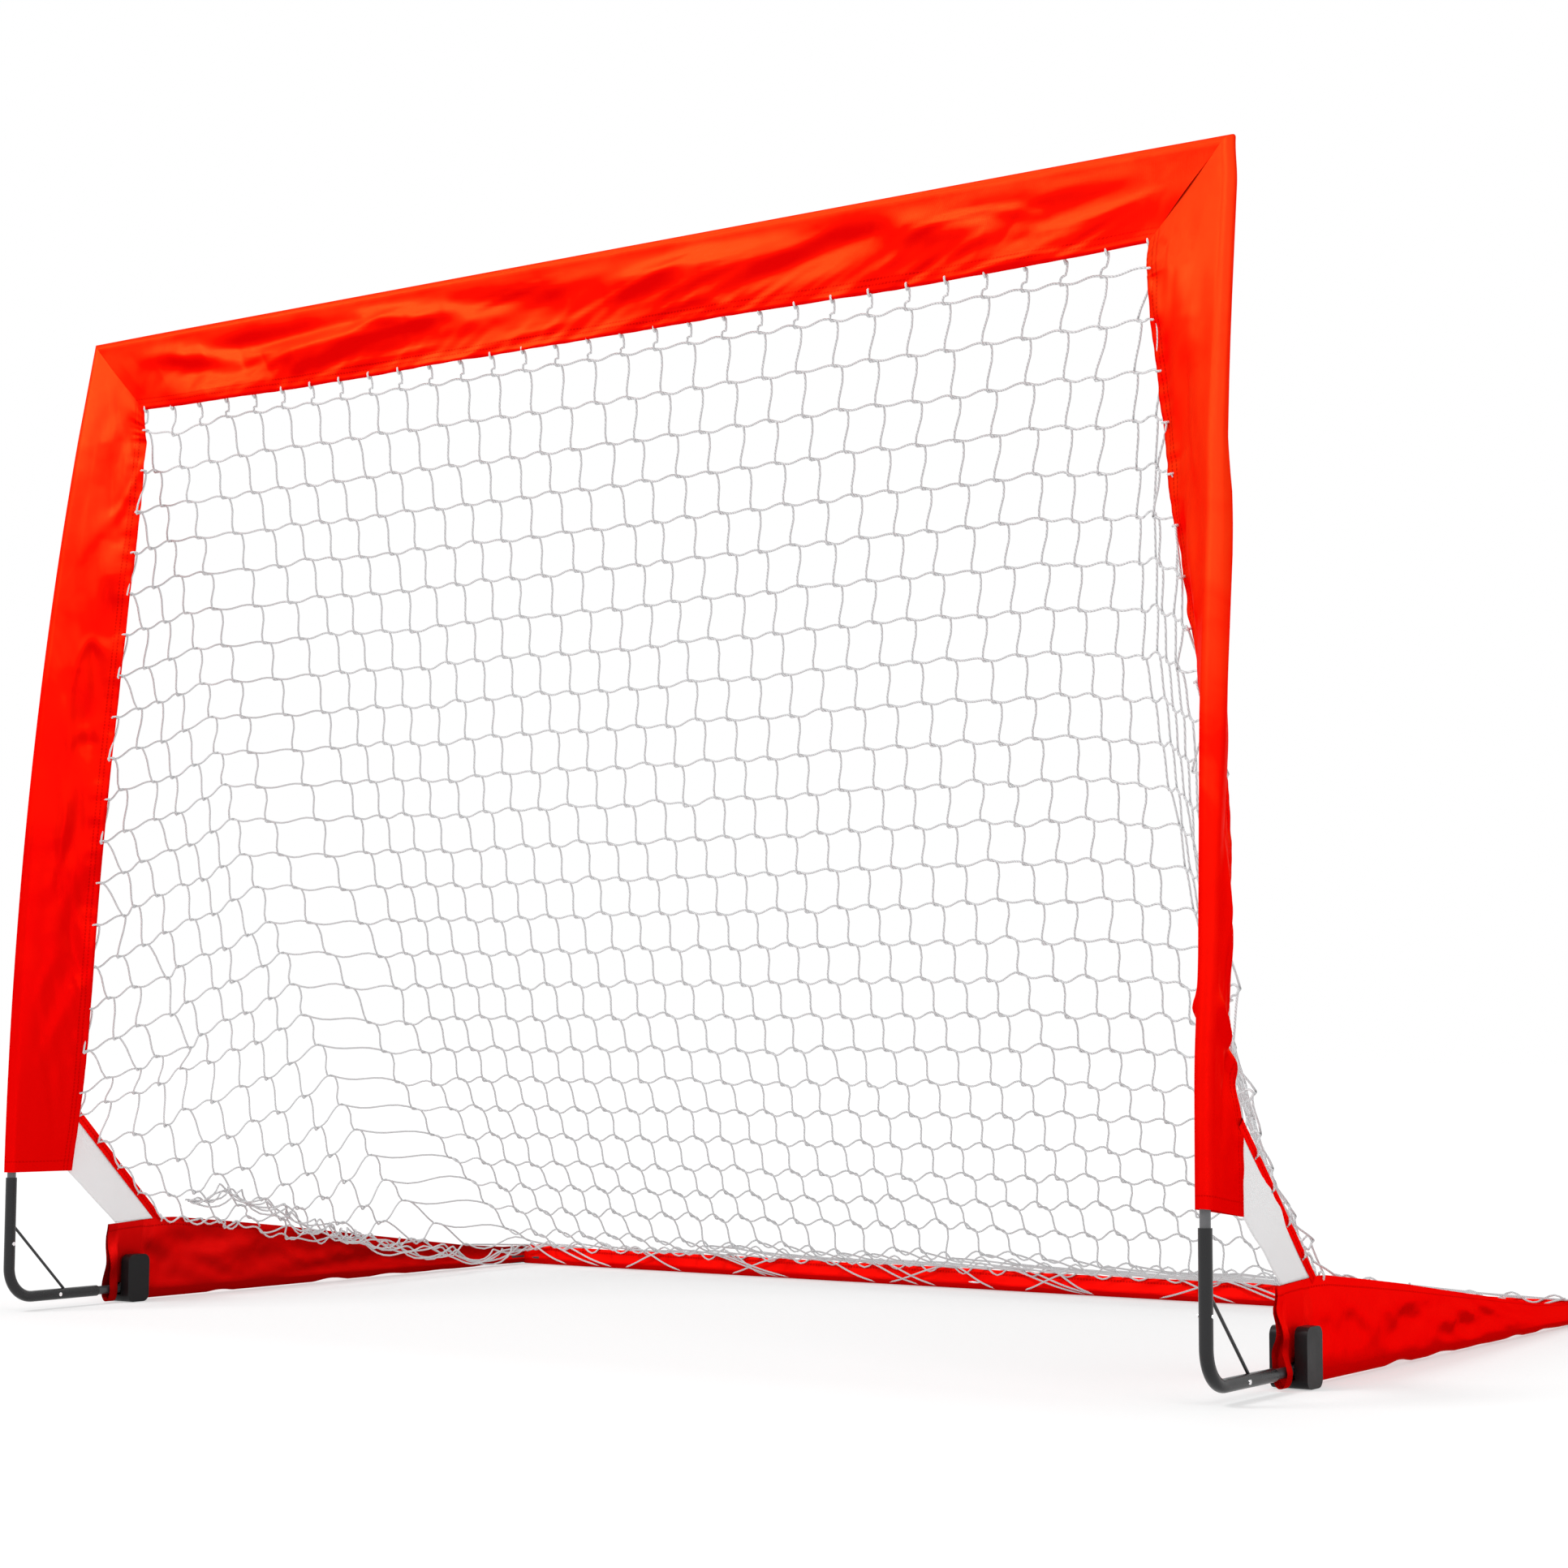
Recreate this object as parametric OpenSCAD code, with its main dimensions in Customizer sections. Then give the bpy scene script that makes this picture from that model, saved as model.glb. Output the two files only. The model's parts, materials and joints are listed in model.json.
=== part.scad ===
// Portable folding street-hockey goal.
// Steel corner tubes join glass-fibre poles into a front frame, which hinges in two plastic
// brackets on a U-shaped base. Fabric sleeves cover the poles and carry a net.
// X runs along the crossbar, Y from the mouth to the rear bar, Z up from the floor.
// Pieces that come in pairs are built for the right side, with +X outwards, and mirrored.

/* [Goal] */
// Distance between the axes of the two corner tubes
goal_w = 1219; // [900:1:1600]
// Height of the crossbar axis above the floor
goal_h = 914; // [600:1:1300]
// Distance from the corner tubes back to the rear bar axis
base_depth = 748; // [500:1:1000]
// How far the bowed uprights carry the crossbar back
top_lean = 76; // [30:1:120]
// How far each upright is drawn inwards at the top
top_pull = 12; // [2:1:40]

/* [Poles and tubes] */
// Diameter of the glass-fibre poles
pole_d = 8; // [6:0.1:8.4]
// Wall of the steel corner tubes and of the moulded fittings
tube_wall = 1; // [0.6:0.1:1.2]
// Radial clearance of a pole in its tube, elbow or ferrule
pole_fit = 0.1; // [0.05:0.01:0.2]
// Centreline radius of the corner tube's bend
bend_r = 28; // [18:1:35]
// Height of the corner tube's top end above the floor
corner_top = 123; // [105:1:180]
// Distance from the upright's axis back to the corner tube's rear end
corner_foot = 107; // [85:1:112]
// Length of the ferrules that join the halves of the crossbar and of the rear bar
ferrule_len = 60; // [30:1:100]
// Depth of each elbow's sockets, measured from its corner
socket_len = 26; // [15:1:40]

/* [Brace] */
// Diameter of the brace rod across the corner tube's bend
brace_d = 2.6; // [2:0.1:4]
// Height of the brace's upper end above the lower leg's axis
brace_rise = 65; // [50:1:75]
// Distance of the brace's lower end behind the upright leg's axis
brace_reach = 66; // [50:1:72]
// Diameter of the heads of the rivets that stop the poles in the tubes
rivet_head_d = 3.6; // [2.8:0.1:5]

/* [Hinge bracket] */
// Width of the hinge bracket along X
bracket_w = 30; // [24:0.5:44]
// Depth of the hinge bracket along Y
bracket_d = 27; // [24:0.5:34]
// Height of the hinge bracket
bracket_h = 45; // [36:0.5:46]
// Gap between the two ears of the bracket
slot_w = 10; // [9.2:0.1:14]
// Corner radius of the bracket, seen from the side
ear_r = 7; // [3:0.5:10]
// Distance from the upright's axis back to the hinge pin
hinge_back = 143; // [140:1:160]
// Distance of the hinge pin behind the bracket's front face
pin_inset = 9; // [8:0.5:11]
// Height of the hinge pin above the floor
hinge_z = 12.5; // [11:0.1:15]
// Diameter of the hinge pin
pin_d = 4; // [3:0.1:5]
// Radial running clearance of the hinge pin
pin_play = 0.05; // [0.02:0.01:0.1]
// Height of the block that holds the base pole, between the ears
socket_h = 22; // [20:0.5:26]

/* [Front sleeves] */
// Width of a sleeve's flap, from the pole's axis to the hem
flap_w = 65; // [50:1:90]
// Outer radius of the pole pocket
pocket_r = 7; // [7:0.1:10]
// Thickness of the fabric round the pocket
fabric_t = 1.2; // [0.8:0.1:1.3]
// Thickness of the hem, where the fabric is folded and stitched
hem_t = 2; // [1:0.1:4]
// Angle by which the flaps turn back from the frame's plane at the top corners
flap_turn_top = 8; // [0:1:20]
// Angle by which the flaps turn back at the lower ends of the uprights
flap_turn_foot = 86; // [70:1:90]
// Gap between a corner tube's top end and the sleeve above it
sleeve_gap = 5; // [2:0.5:20]

/* [Base sleeves] */
// Outer radius of the pole pocket
base_pocket_r = 6; // [6:0.1:8]
// Thickness of the fabric round the pocket
base_fabric_t = 0.5; // [0.4:0.1:0.6]
// Height of the side panels at their front edge
base_front_h = 75; // [60:1:95]
// Height of the side panels at their highest point
base_peak_h = 78; // [62:1:100]
// Height of the rear sleeve's flap above the rear bar's axis
rear_flap = 14; // [9:0.5:30]
// Thickness of the panels and of the rear flap
panel_t = 3; // [1.5:0.1:4]

/* [Corner straps] */
// Length along which a strap is sewn to the upright's sleeve
strap_w = 47; // [30:1:60]
// Width of the binding along the strap's rear edge
binding_w = 9; // [5:0.5:15]
// Thickness of the strap's webbing
strap_t = 1.2; // [0.6:0.1:2]
// Thickness of the folded binding
binding_t = 2; // [1:0.1:3]

/* [Net] */
// Spacing of the meshes
mesh = 86; // [82:1:160]
// Thickness of the twine
twine = 3; // [2:0.1:5]

/* [Hidden] */

$fn = 48;
// Facets of a full turn of the long upright bows
bow_fn = 720;
// Clearance between soft pieces and their neighbours
soft_gap = 0.3;
// Reach of a cutting shape past the face it cuts
past = 1;

left = -1;
right = 1;
half_w = goal_w/2;

pole_r = pole_d/2;
bore_r = pole_r + pole_fit;
tube_r = bore_r + tube_wall;

// Section of a front sleeve, as [distance from the pole towards the hem, distance behind it]:
// an outer loop round the pocket and the flap, then an inner loop round the pocket's bore
pocket_sides = 10;
// Half of the angle that the flap takes up on the pocket
flap_half = 24;
pocket_bore_r = pocket_r - fabric_t;
pocket_turns = [for (i = [0:pocket_sides - 1]) flap_half + i*(360 - 2*flap_half)/(pocket_sides - 1)];
outer_loop = concat([for (a = pocket_turns) pocket_r*[cos(a), sin(a)]],
    [[flap_w, -hem_t/2], [flap_w, hem_t/2]]);
inner_loop = [for (a = concat(pocket_turns, [-flap_half/3, flap_half/3]))
    pocket_bore_r*[cos(a), sin(a)]];
sleeve_section = concat(outer_loop, inner_loop);
loop_n = len(outer_loop);
function turned(p, turn) = [p[0]*cos(turn) - p[1]*sin(turn), p[0]*sin(turn) + p[1]*cos(turn)];

// The origin is the middle of the goal's footprint
front_reach = -min([for (p = sleeve_section) turned(p, flap_turn_foot)[1]]);
front_y = (front_reach - base_depth - base_pocket_r)/2;
rear_y = front_y + base_depth;

// The rear pocket is pressed flat where it lies on the floor; the side pockets just clear it
floor_flat = 0.2;
rear_z = base_pocket_r - floor_flat;
side_pocket_r = rear_z - 0.05;
// The base poles run down from the hinge to the rear bar, all distances from the front axis
base_slope = atan((hinge_z - rear_z)/(base_depth - hinge_back));
function base_axis(back) = [back, hinge_z - (back - hinge_back)*tan(base_slope)];

// Elbows: centreline radius of the bend, its step below the sockets, and how far they meet
knuckle_r = tube_r + 0.9;
knuckle_step = 0.15;
socket_overlap = 0.5;

// Rivets stop the pole and the stub inside each corner tube
rivet_r = 1.2;
rivet_play = 0.02;
rivet_head_h = 0.8;
end_gap = 0.4;
upper_rivet = [0, hinge_z + brace_rise - 15];
lower_rivet = [brace_reach - 8, hinge_z];

// Bowed uprights: each is an arc in a vertical plane that starts inside its corner tube
bow_start = corner_top - 20;
bow_rise = goal_h - bow_start;
bow_run = norm([top_lean, top_pull]);
bow_r = (bow_rise*bow_rise + bow_run*bow_run)/(2*bow_run);
bow_angle = asin(bow_rise/bow_r);
// The bow's heading, turned from straight back towards the goal's middle
bow_turn = atan(top_pull/top_lean);
top_corner = [half_w - top_pull, front_y + top_lean, goal_h];

pin_r = pin_d/2;
pin_cover = 3;
eye_r = pole_r + 1.2;
// Side play of the pivot eye between the ears
eye_play = 0.5;
bracket_front = hinge_back - pin_inset;
bracket_rear = bracket_front + bracket_d;
slot_floor = hinge_z - eye_r - 0.5;
block_front = hinge_back + eye_r + 1.3;

function mix(a, b, u) = a + (b - a)*u;
function smooth(u) = u*u*(3 - 2*u);
function unit(v) = v/norm(v);

// ---- the right upright's axis: u = 0 at the start of the bow, u = 1 at the crossbar ----
inward = [-1, 0, 0];
function bow_point(u) = let(run = bow_r*(1 - cos(bow_angle*u)))
    [half_w - run*sin(bow_turn), front_y + run*cos(bow_turn), bow_start + bow_r*sin(bow_angle*u)];
function bow_up(u) = let(a = bow_angle*u) [-sin(a)*sin(bow_turn), sin(a)*cos(bow_turn), cos(a)];
function bow_back(u) = unit(cross(inward, bow_up(u)));

// ---- rings of the front sleeves ----
sleeve_rings = 16;
foot_z = corner_top + sleeve_gap;
foot_u = asin((foot_z - bow_start)/bow_r)/bow_angle;
// The last level ring lies below the mitred corner
mitre_drop = flap_w + pocket_r + 20;
last_u = 1 - mitre_drop/(bow_r*bow_angle*PI/180);
function flap_turn(u) = mix(flap_turn_foot, flap_turn_top, smooth((u - foot_u)/(1 - foot_u)));
function on_bow(p, u) = let(q = turned(p, flap_turn(u))) bow_point(u) + q[0]*inward + q[1]*bow_back(u);
function on_mitre(p) = let(q = turned(p, flap_turn_top))
    top_corner + q[0]*(inward - bow_up(1)) + q[1]*bow_back(1);
upright_rings = concat(
    [[for (p = sleeve_section) on_mitre(p)]],
    [for (k = [0:sleeve_rings - 1]) let(u = mix(last_u, foot_u, k/(sleeve_rings - 1)))
        [for (p = sleeve_section) on_bow(p, u)]]);
mitre_right = [for (p = sleeve_section) on_mitre(p) - [soft_gap, 0, 0]];
mitre_left = [for (p = mitre_right) [-p[0], p[1], p[2]]];

// Triangles of a skin with a bore, through rings that each hold an outer and an inner loop.
// The flap's two faces, first and last in the outer loop, are split along the same diagonal.
function ring_faces(rings) = concat(
    [for (k = [0:rings - 2], i = [0:loop_n - 1], bore = [0, 1])
        let(a = k*2*loop_n + bore*loop_n + i, b = a - i + (i + 1)%loop_n, up = 2*loop_n)
        each bore == 1 ? [[a, b, b + up], [a, b + up, a + up]]
            : i == loop_n - 1 ? [[a, a + up, b], [b, a + up, b + up]]
            : [[a, b + up, b], [a, a + up, b + up]]],
    [for (end = [0, rings - 1], i = [0:loop_n - 1])
        let(a = end*2*loop_n + i, b = a - i + (i + 1)%loop_n)
        each end == 0 ? [[a, b, b + loop_n], [a, b + loop_n, a + loop_n]]
                      : [[a, b + loop_n, b], [a, a + loop_n, b + loop_n]]]);

// ---- outline of a base sleeve, as [distance behind the front axis, height] ----
tab_front = bracket_front - 15;
tab_rake = 9;
peak_back = 185;
rear_top = rear_z + rear_flap;
function base_top(back) = back < peak_back
    ? mix(base_front_h, base_peak_h, (back - tab_front - tab_rake)/(peak_back - tab_front - tab_rake))
    : mix(base_peak_h, rear_top, (back - peak_back)/(base_depth - peak_back));

// ---- placing ----
module on_side(side) {
    if (side < 0) mirror([1, 0, 0]) children();
    else children();
}

// The frame of the right corner tube: X outwards from its axis, Y backwards, Z up
module at_corner(side) on_side(side) translate([half_w, front_y, 0]) children();

// An extrusion along X of an outline in the YZ plane
module across(thickness) rotate([90, 0, 90])
    linear_extrude(height = thickness, center = true) children();

// A round bar along X, centred on a [back, height] point
module cross_pin(at, length, r) translate([0, at[0], at[1]]) rotate([0, 90, 0])
    cylinder(h = length, r = r, center = true);

// A round bar between two [back, height] points
module slant_bar(from, to, r) {
    run = to - from;
    translate([0, from[0], from[1]]) rotate([-atan2(run[0], run[1]), 0, 0])
        cylinder(h = norm(run), r = r);
}

// The straight legs of an elbow: one along -X, and one turned from it about Y by an opening
module legs(opening, start, reach, r) for (turn = [0, opening]) rotate([0, -90 - turn, 0])
    translate([0, 0, start]) cylinder(h = reach - start, r = r);

// Moulded elbow: a tight round bend, stepped down, between two sockets, rolled about X
module elbow(opening, roll) rotate([roll, 0, 0]) difference() {
    bend_at = knuckle_r/tan(opening/2);
    union() {
        legs(opening, bend_at - socket_overlap, socket_len, tube_r);
        translate([-bend_at, 0, -knuckle_r]) rotate([90, 0, 0])
            rotate_extrude(angle = 180 - opening, start = opening - 90) translate([knuckle_r, 0])
                circle(r = tube_r - knuckle_step);
    }
    legs(opening, tube_r, socket_len + past, bore_r);
}

// ---- front frame: steel corners ----
// Both legs and the bend; each end runs on by a given distance
module corner_path(r, run_on) {
    bend_z = hinge_z + bend_r;
    translate([0, 0, bend_z]) cylinder(h = corner_top - bend_z + run_on, r = r);
    translate([0, bend_r, hinge_z]) rotate([-90, 0, 0])
        cylinder(h = corner_foot - bend_r + run_on, r = r);
    translate([0, bend_r, bend_z]) rotate([90, 0, -90]) rotate([0, 0, -90])
        rotate_extrude(angle = 90, $fn = 96) translate([bend_r, 0]) circle(r = r);
}

module corner_tube(side) color("#1c1c1e") at_corner(side) difference() {
    corner_path(tube_r, 0);
    corner_path(bore_r, past);
    for (at = [upper_rivet, lower_rivet]) cross_pin(at, 2*(tube_r + past), rivet_r);
}

module corner_brace(side) {
    top = [tube_r, hinge_z + brace_rise];
    foot = [brace_reach, hinge_z + tube_r];
    weld = 0.4*unit(foot - top);
    color("#141416") at_corner(side) slant_bar(top - weld, foot + weld, brace_d/2);
}

module rivet(side, at) color("#c8c8cc") at_corner(side) {
    cross_pin(at, 2*tube_r, rivet_r - rivet_play);
    for (face = [-1, 1]) translate([face*(tube_r + rivet_head_h/2), 0, 0])
        cross_pin(at, rivet_head_h, rivet_head_d/2);
}

// Rod in the corner tube's lower leg, with an eye that turns on the hinge pin
module pivot_stub(side) color("#26262a") at_corner(side) difference() {
    union() {
        slant_bar([lower_rivet[0] + rivet_r + end_gap, hinge_z], [hinge_back, hinge_z], pole_r);
        cross_pin([hinge_back, hinge_z], slot_w - 2*eye_play, eye_r);
    }
    cross_pin([hinge_back, hinge_z], slot_w, pin_r + pin_play);
}

// ---- front frame: poles and fittings ----
module upright_pole(side) {
    foot = upper_rivet[1] + rivet_r + end_gap;
    sweep = bow_angle - atan((tube_r + end_gap)/bow_r);
    color("#2a2a2e") at_corner(side) rotate([0, 0, bow_turn]) {
        translate([0, 0, foot]) cylinder(h = bow_start - foot, r = pole_r);
        translate([0, bow_r, bow_start]) rotate([90, 0, -90])
            rotate_extrude(angle = sweep, $fn = bow_fn) translate([bow_r, 0])
                circle(r = pole_r, $fn = 32);
    }
}

module top_elbow(side) color("#2a2a2e") on_side(side) translate(top_corner)
    elbow(acos(bow_up(1)[0]), -atan2(bow_up(1)[1], bow_up(1)[2]));

// One half of a bar along X, from the ferrule in the middle to an elbow's corner
module half_bar(corner_x) translate([end_gap/2, 0, 0]) rotate([0, 90, 0])
    cylinder(h = corner_x - tube_r - end_gap*3/2, r = pole_r);

module ferrule() rotate([0, 90, 0]) difference() {
    cylinder(h = ferrule_len, r = tube_r, center = true);
    cylinder(h = ferrule_len + 2*past, r = bore_r, center = true);
}

module crossbar_pole(side) color("#2a2a2e") on_side(side)
    translate([0, top_corner[1], goal_h]) half_bar(top_corner[0]);

module crossbar_ferrule() color("#9a9aa0") translate([0, top_corner[1], goal_h]) ferrule();

// ---- front frame: sleeves ----
module upright_sleeve(side) color("#f0280f") on_side(side)
    polyhedron(points = [for (ring = upright_rings) each ring], faces = ring_faces(len(upright_rings)));

module crossbar_sleeve() color("#f83010")
    polyhedron(points = concat(mitre_left, mitre_right), faces = ring_faces(2));

// ---- base: hinge brackets ----
module bracket_outline() translate([bracket_front, 0]) {
    translate([0, ear_r]) square([bracket_d, bracket_h - 2*ear_r]);
    translate([ear_r, 0]) square([bracket_d - 2*ear_r, bracket_h]);
    for (y = [ear_r, bracket_d - ear_r], z = [ear_r, bracket_h - ear_r])
        translate([y, z]) circle(r = ear_r);
}

module hinge_bracket(side) color("#17171a") at_corner(side) difference() {
    across(bracket_w) bracket_outline();
    // The slot is open in front and on top, and shallower over the base pole's block
    translate([-slot_w/2, bracket_front - past, slot_floor])
        cube([slot_w, block_front - bracket_front + past, bracket_h]);
    translate([-slot_w/2, block_front - past, socket_h]) cube([slot_w, bracket_d, bracket_h]);
    cross_pin([hinge_back, hinge_z], bracket_w - 2*pin_cover, pin_r + pin_play);
    slant_bar(base_axis(block_front - past), base_axis(bracket_rear + past), bore_r);
}

module hinge_pin(side) color("#b0b0b4") at_corner(side)
    cross_pin([hinge_back, hinge_z], bracket_w - 2*pin_cover - end_gap, pin_r);

// ---- base: poles and fittings ----
module base_pole(side) color("#2a2a2e") at_corner(side)
    slant_bar(base_axis(block_front + end_gap), base_axis(base_depth - tube_r - end_gap), pole_r);

module rear_elbow(side) color("#2a2a2e") at_corner(side) translate([0, base_depth, rear_z])
    elbow(90, -90 - base_slope);

module rear_pole(side) color("#2a2a2e") on_side(side)
    translate([0, rear_y, rear_z]) half_bar(half_w);

module rear_ferrule() color("#9a9aa0") translate([0, rear_y, rear_z]) ferrule();

// ---- base: sleeves ----
// What a rear corner's mitre cuts off: its rear half off a side panel, its front half off the rear sleeve
module mitre_cut(rear_half) translate([0, base_depth, 0]) rotate([0, 0, 45])
    translate([-base_depth, rear_half ? -soft_gap/2 : soft_gap/2 - goal_w, -past])
        cube([2*base_depth, goal_w, base_depth]);

module base_sleeve(side) {
    run_past = base_depth + 2*base_pocket_r;
    lift = eye_r + soft_gap;
    color("#d80c08") at_corner(side) difference() {
        union() {
            slant_bar(base_axis(bracket_rear + soft_gap), base_axis(run_past), side_pocket_r);
            across(panel_t) polygon([
                [tab_front, hinge_z + lift],
                [tab_front + tab_rake, base_front_h],
                [peak_back, base_peak_h],
                [run_past, base_top(run_past)],
                base_axis(run_past),
                base_axis(bracket_rear + soft_gap),
                [bracket_rear + soft_gap, socket_h + soft_gap],
                [block_front - soft_gap, socket_h + soft_gap],
                [block_front - soft_gap, hinge_z + lift]]);
        }
        slant_bar(base_axis(bracket_rear - past), base_axis(run_past + past), base_pocket_r - base_fabric_t);
        mitre_cut(true);
    }
}

module rear_sleeve() {
    run = goal_w + 4*base_pocket_r;
    color("#c80a06") difference() {
        translate([0, rear_y, rear_z]) difference() {
            union() {
                rotate([0, 90, 0]) cylinder(h = run, r = base_pocket_r, center = true);
                translate([-run/2, -panel_t/2, 0]) cube([run, panel_t, rear_flap]);
            }
            rotate([0, 90, 0]) cylinder(h = run + 2*past, r = base_pocket_r - base_fabric_t, center = true);
        }
        for (side = [left, right]) at_corner(side) mitre_cut(false);
        // pressed flat on the floor
        translate([-run, rear_y - base_depth/2, -base_depth]) cube([2*run, base_depth, base_depth]);
    }
}

// ---- corner straps, sewn between an upright's hem and a base sleeve's top edge ----
seam_gap = 0.5;
foot_hem = on_bow([flap_w, 0], foot_u);
hem_back = foot_hem[1] - front_y + hem_t/2 + seam_gap;
strap_x = (foot_hem[0] - half_w)/2;
strap_foot = [mix(tab_front, peak_back, 0.25), mix(tab_front, peak_back, 0.88)];
function on_base_top(back) = [back, base_top(back) + seam_gap];
strap_top = [hem_back, foot_z + strap_w];
strap_rear = on_base_top(strap_foot[1]);
// Direction square to the strap's rear edge, away from the strap
strap_out = unit([strap_top[1] - strap_rear[1], strap_rear[0] - strap_top[0]]);

module corner_strap(side) color("#ecedee") at_corner(side) translate([strap_x, 0, 0])
    across(strap_t) polygon([[hem_back, foot_z], strap_top, strap_rear, on_base_top(strap_foot[0])]);

module strap_binding(side) {
    rise = binding_w/strap_out[1]*[0, 1];
    reach = binding_w/strap_out[0]*[1, 0];
    color("#d80c08") at_corner(side) translate([strap_x, 0, 0])
        across(binding_t) polygon([strap_top, strap_rear, strap_rear + reach, strap_top + rise]);
}

// ---- net ----
// Room between a panel's border twine and the edge that it is laced to
lace_gap = twine/2 + 0.4;

// Flat net with a border twine, between a left and a right edge that are tables of
// [height, x]. Its rows follow the edges, and each row has as many meshes as fit it.
module net_panel(left_edge, right_edge, height) {
    rows = round(height/mesh);
    border = 1.5*twine;
    function cut(i, n, h) = mix(lookup(h, left_edge) + border, lookup(h, right_edge) - border, i/n);
    linear_extrude(height = twine, center = true) difference() {
        polygon(concat([for (j = [0:rows]) let(h = height*j/rows) [lookup(h, left_edge), h]],
            [for (j = [rows:-1:0]) let(h = height*j/rows) [lookup(h, right_edge), h]]));
        for (j = [0:rows - 1]) {
            low = mix(twine, height, j/rows);
            high = mix(0, height - twine, (j + 1)/rows);
            middle = (low + high)/2;
            n = max(1, round((lookup(middle, right_edge) - lookup(middle, left_edge))/mesh));
            for (i = [0:n - 1]) polygon([
                [cut(i, n, low) + twine/2, low], [cut(i + 1, n, low) - twine/2, low],
                [cut(i + 1, n, high) - twine/2, high], [cut(i, n, high) + twine/2, high]]);
        }
    }
}

top_hem = on_mitre([flap_w, 0]);
hem_down = unit(top_hem - top_corner - [top_hem[0] - top_corner[0], 0, 0]);
// Back panel: from the crossbar's hem down to the rear sleeve's flap
net_top = [top_hem[1], top_hem[2]] + lace_gap*[hem_down[1], hem_down[2]];
net_foot = [rear_y - lace_gap, rear_top + lace_gap];
net_rise = net_top - net_foot;
net_h = norm(net_rise);
net_top_x = top_hem[0] - lace_gap;
net_foot_x = half_w - panel_t/2 - 2*lace_gap;

module back_net() color("#e4e4e6") translate([0, net_foot[0], net_foot[1]])
    rotate([atan2(net_rise[1], net_rise[0]), 0, 0])
        net_panel([[0, -net_foot_x], [net_h, -net_top_x]], [[0, net_foot_x], [net_h, net_top_x]], net_h);

// Side panel: in the plane through the base sleeve's top edge and the top corner's hem
side_foot = [half_w, front_y + peak_back, base_peak_h + lace_gap];
side_rear = [half_w, rear_y - 2*base_pocket_r, base_top(base_depth - 2*base_pocket_r) + lace_gap];
side_drop = atan((side_foot[2] - side_rear[2])/(side_rear[1] - side_foot[1]));
along = [0, cos(side_drop), -sin(side_drop)];
square_up = [0, sin(side_drop), cos(side_drop)];
side_tilt = atan((side_foot[0] - top_hem[0])/((top_hem - side_foot)*square_up));
// A point of the goal in the side panel's plane, as [along its foot, up from its foot]
function in_side(p) = let(v = p - side_foot)
    [v*along, v*square_up*cos(side_tilt) + (side_foot[0] - p[0])*sin(side_tilt)];

// Corners of the side panel, from the rear foot round the front: up the binding and the hem
side_rear_foot = in_side(side_rear);
side_rear_top = in_side([net_top_x, net_top[0], net_top[1]]) + [3*lace_gap, -2*lace_gap];
side_front_foot = [in_side([half_w, front_y + strap_rear[0] + binding_w/strap_out[0], side_foot[2]])[0]
    + 2*lace_gap, 0];
side_hem_foot = in_side(foot_hem + [0, 0, strap_w + binding_w/strap_out[1]]) + [2*lace_gap, 0];
side_hem_top = [in_side(top_hem)[0] + 2*lace_gap, side_rear_top[1]];
// The panel ends a little below the top corner, where its two edges meet
side_gather = 36;

module side_net(side) color("#e4e4e6") on_side(side) translate(side_foot)
    rotate([-side_drop, 0, 0]) rotate([0, -side_tilt, 0]) rotate([90, 0, 90])
        net_panel([for (p = [side_front_foot, side_hem_foot, side_hem_top]) [p[1], p[0]]],
            [for (p = [side_rear_foot, side_rear_top]) [p[1], p[0]]], side_rear_top[1] - side_gather);

corner_tube(left);  // corner_tube_left
corner_tube(right);  // corner_tube_right
corner_brace(left);  // corner_brace_left
corner_brace(right);  // corner_brace_right
rivet(left, upper_rivet);  // upper_rivet_left
rivet(right, upper_rivet);  // upper_rivet_right
rivet(left, lower_rivet);  // lower_rivet_left
rivet(right, lower_rivet);  // lower_rivet_right
pivot_stub(left);  // pivot_stub_left
pivot_stub(right);  // pivot_stub_right
upright_pole(left);  // upright_pole_left
upright_pole(right);  // upright_pole_right
top_elbow(left);  // top_elbow_left
top_elbow(right);  // top_elbow_right
crossbar_pole(left);  // crossbar_pole_left
crossbar_pole(right);  // crossbar_pole_right
crossbar_ferrule();
crossbar_sleeve();
upright_sleeve(left);  // upright_sleeve_left
upright_sleeve(right);  // upright_sleeve_right
hinge_bracket(left);  // hinge_bracket_left
hinge_bracket(right);  // hinge_bracket_right
hinge_pin(left);  // hinge_pin_left
hinge_pin(right);  // hinge_pin_right
base_pole(left);  // base_pole_left
base_pole(right);  // base_pole_right
rear_elbow(left);  // rear_elbow_left
rear_elbow(right);  // rear_elbow_right
rear_pole(left);  // rear_pole_left
rear_pole(right);  // rear_pole_right
rear_ferrule();
rear_sleeve();
base_sleeve(left);  // base_sleeve_left
base_sleeve(right);  // base_sleeve_right
corner_strap(left);  // corner_strap_left
corner_strap(right);  // corner_strap_right
strap_binding(left);  // strap_binding_left
strap_binding(right);  // strap_binding_right
back_net();
side_net(left);  // side_net_left
side_net(right);  // side_net_right
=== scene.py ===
# %% [markdown]
# # A folding street-hockey goal
# The goal is a bowed frame of thin poles in satin sleeves, hinged on a base that lies on the floor, with a
# slack net behind the mouth. The hard parts come from the CAD model as they are, and only get a finish here.
# Everything made of cloth or twine is built again below, because cloth folds and a solid doesn't.

# %% Open the shared frame
import json
import math

import bpy
import numpy as np
from mathutils import Matrix, Vector, noise


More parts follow.
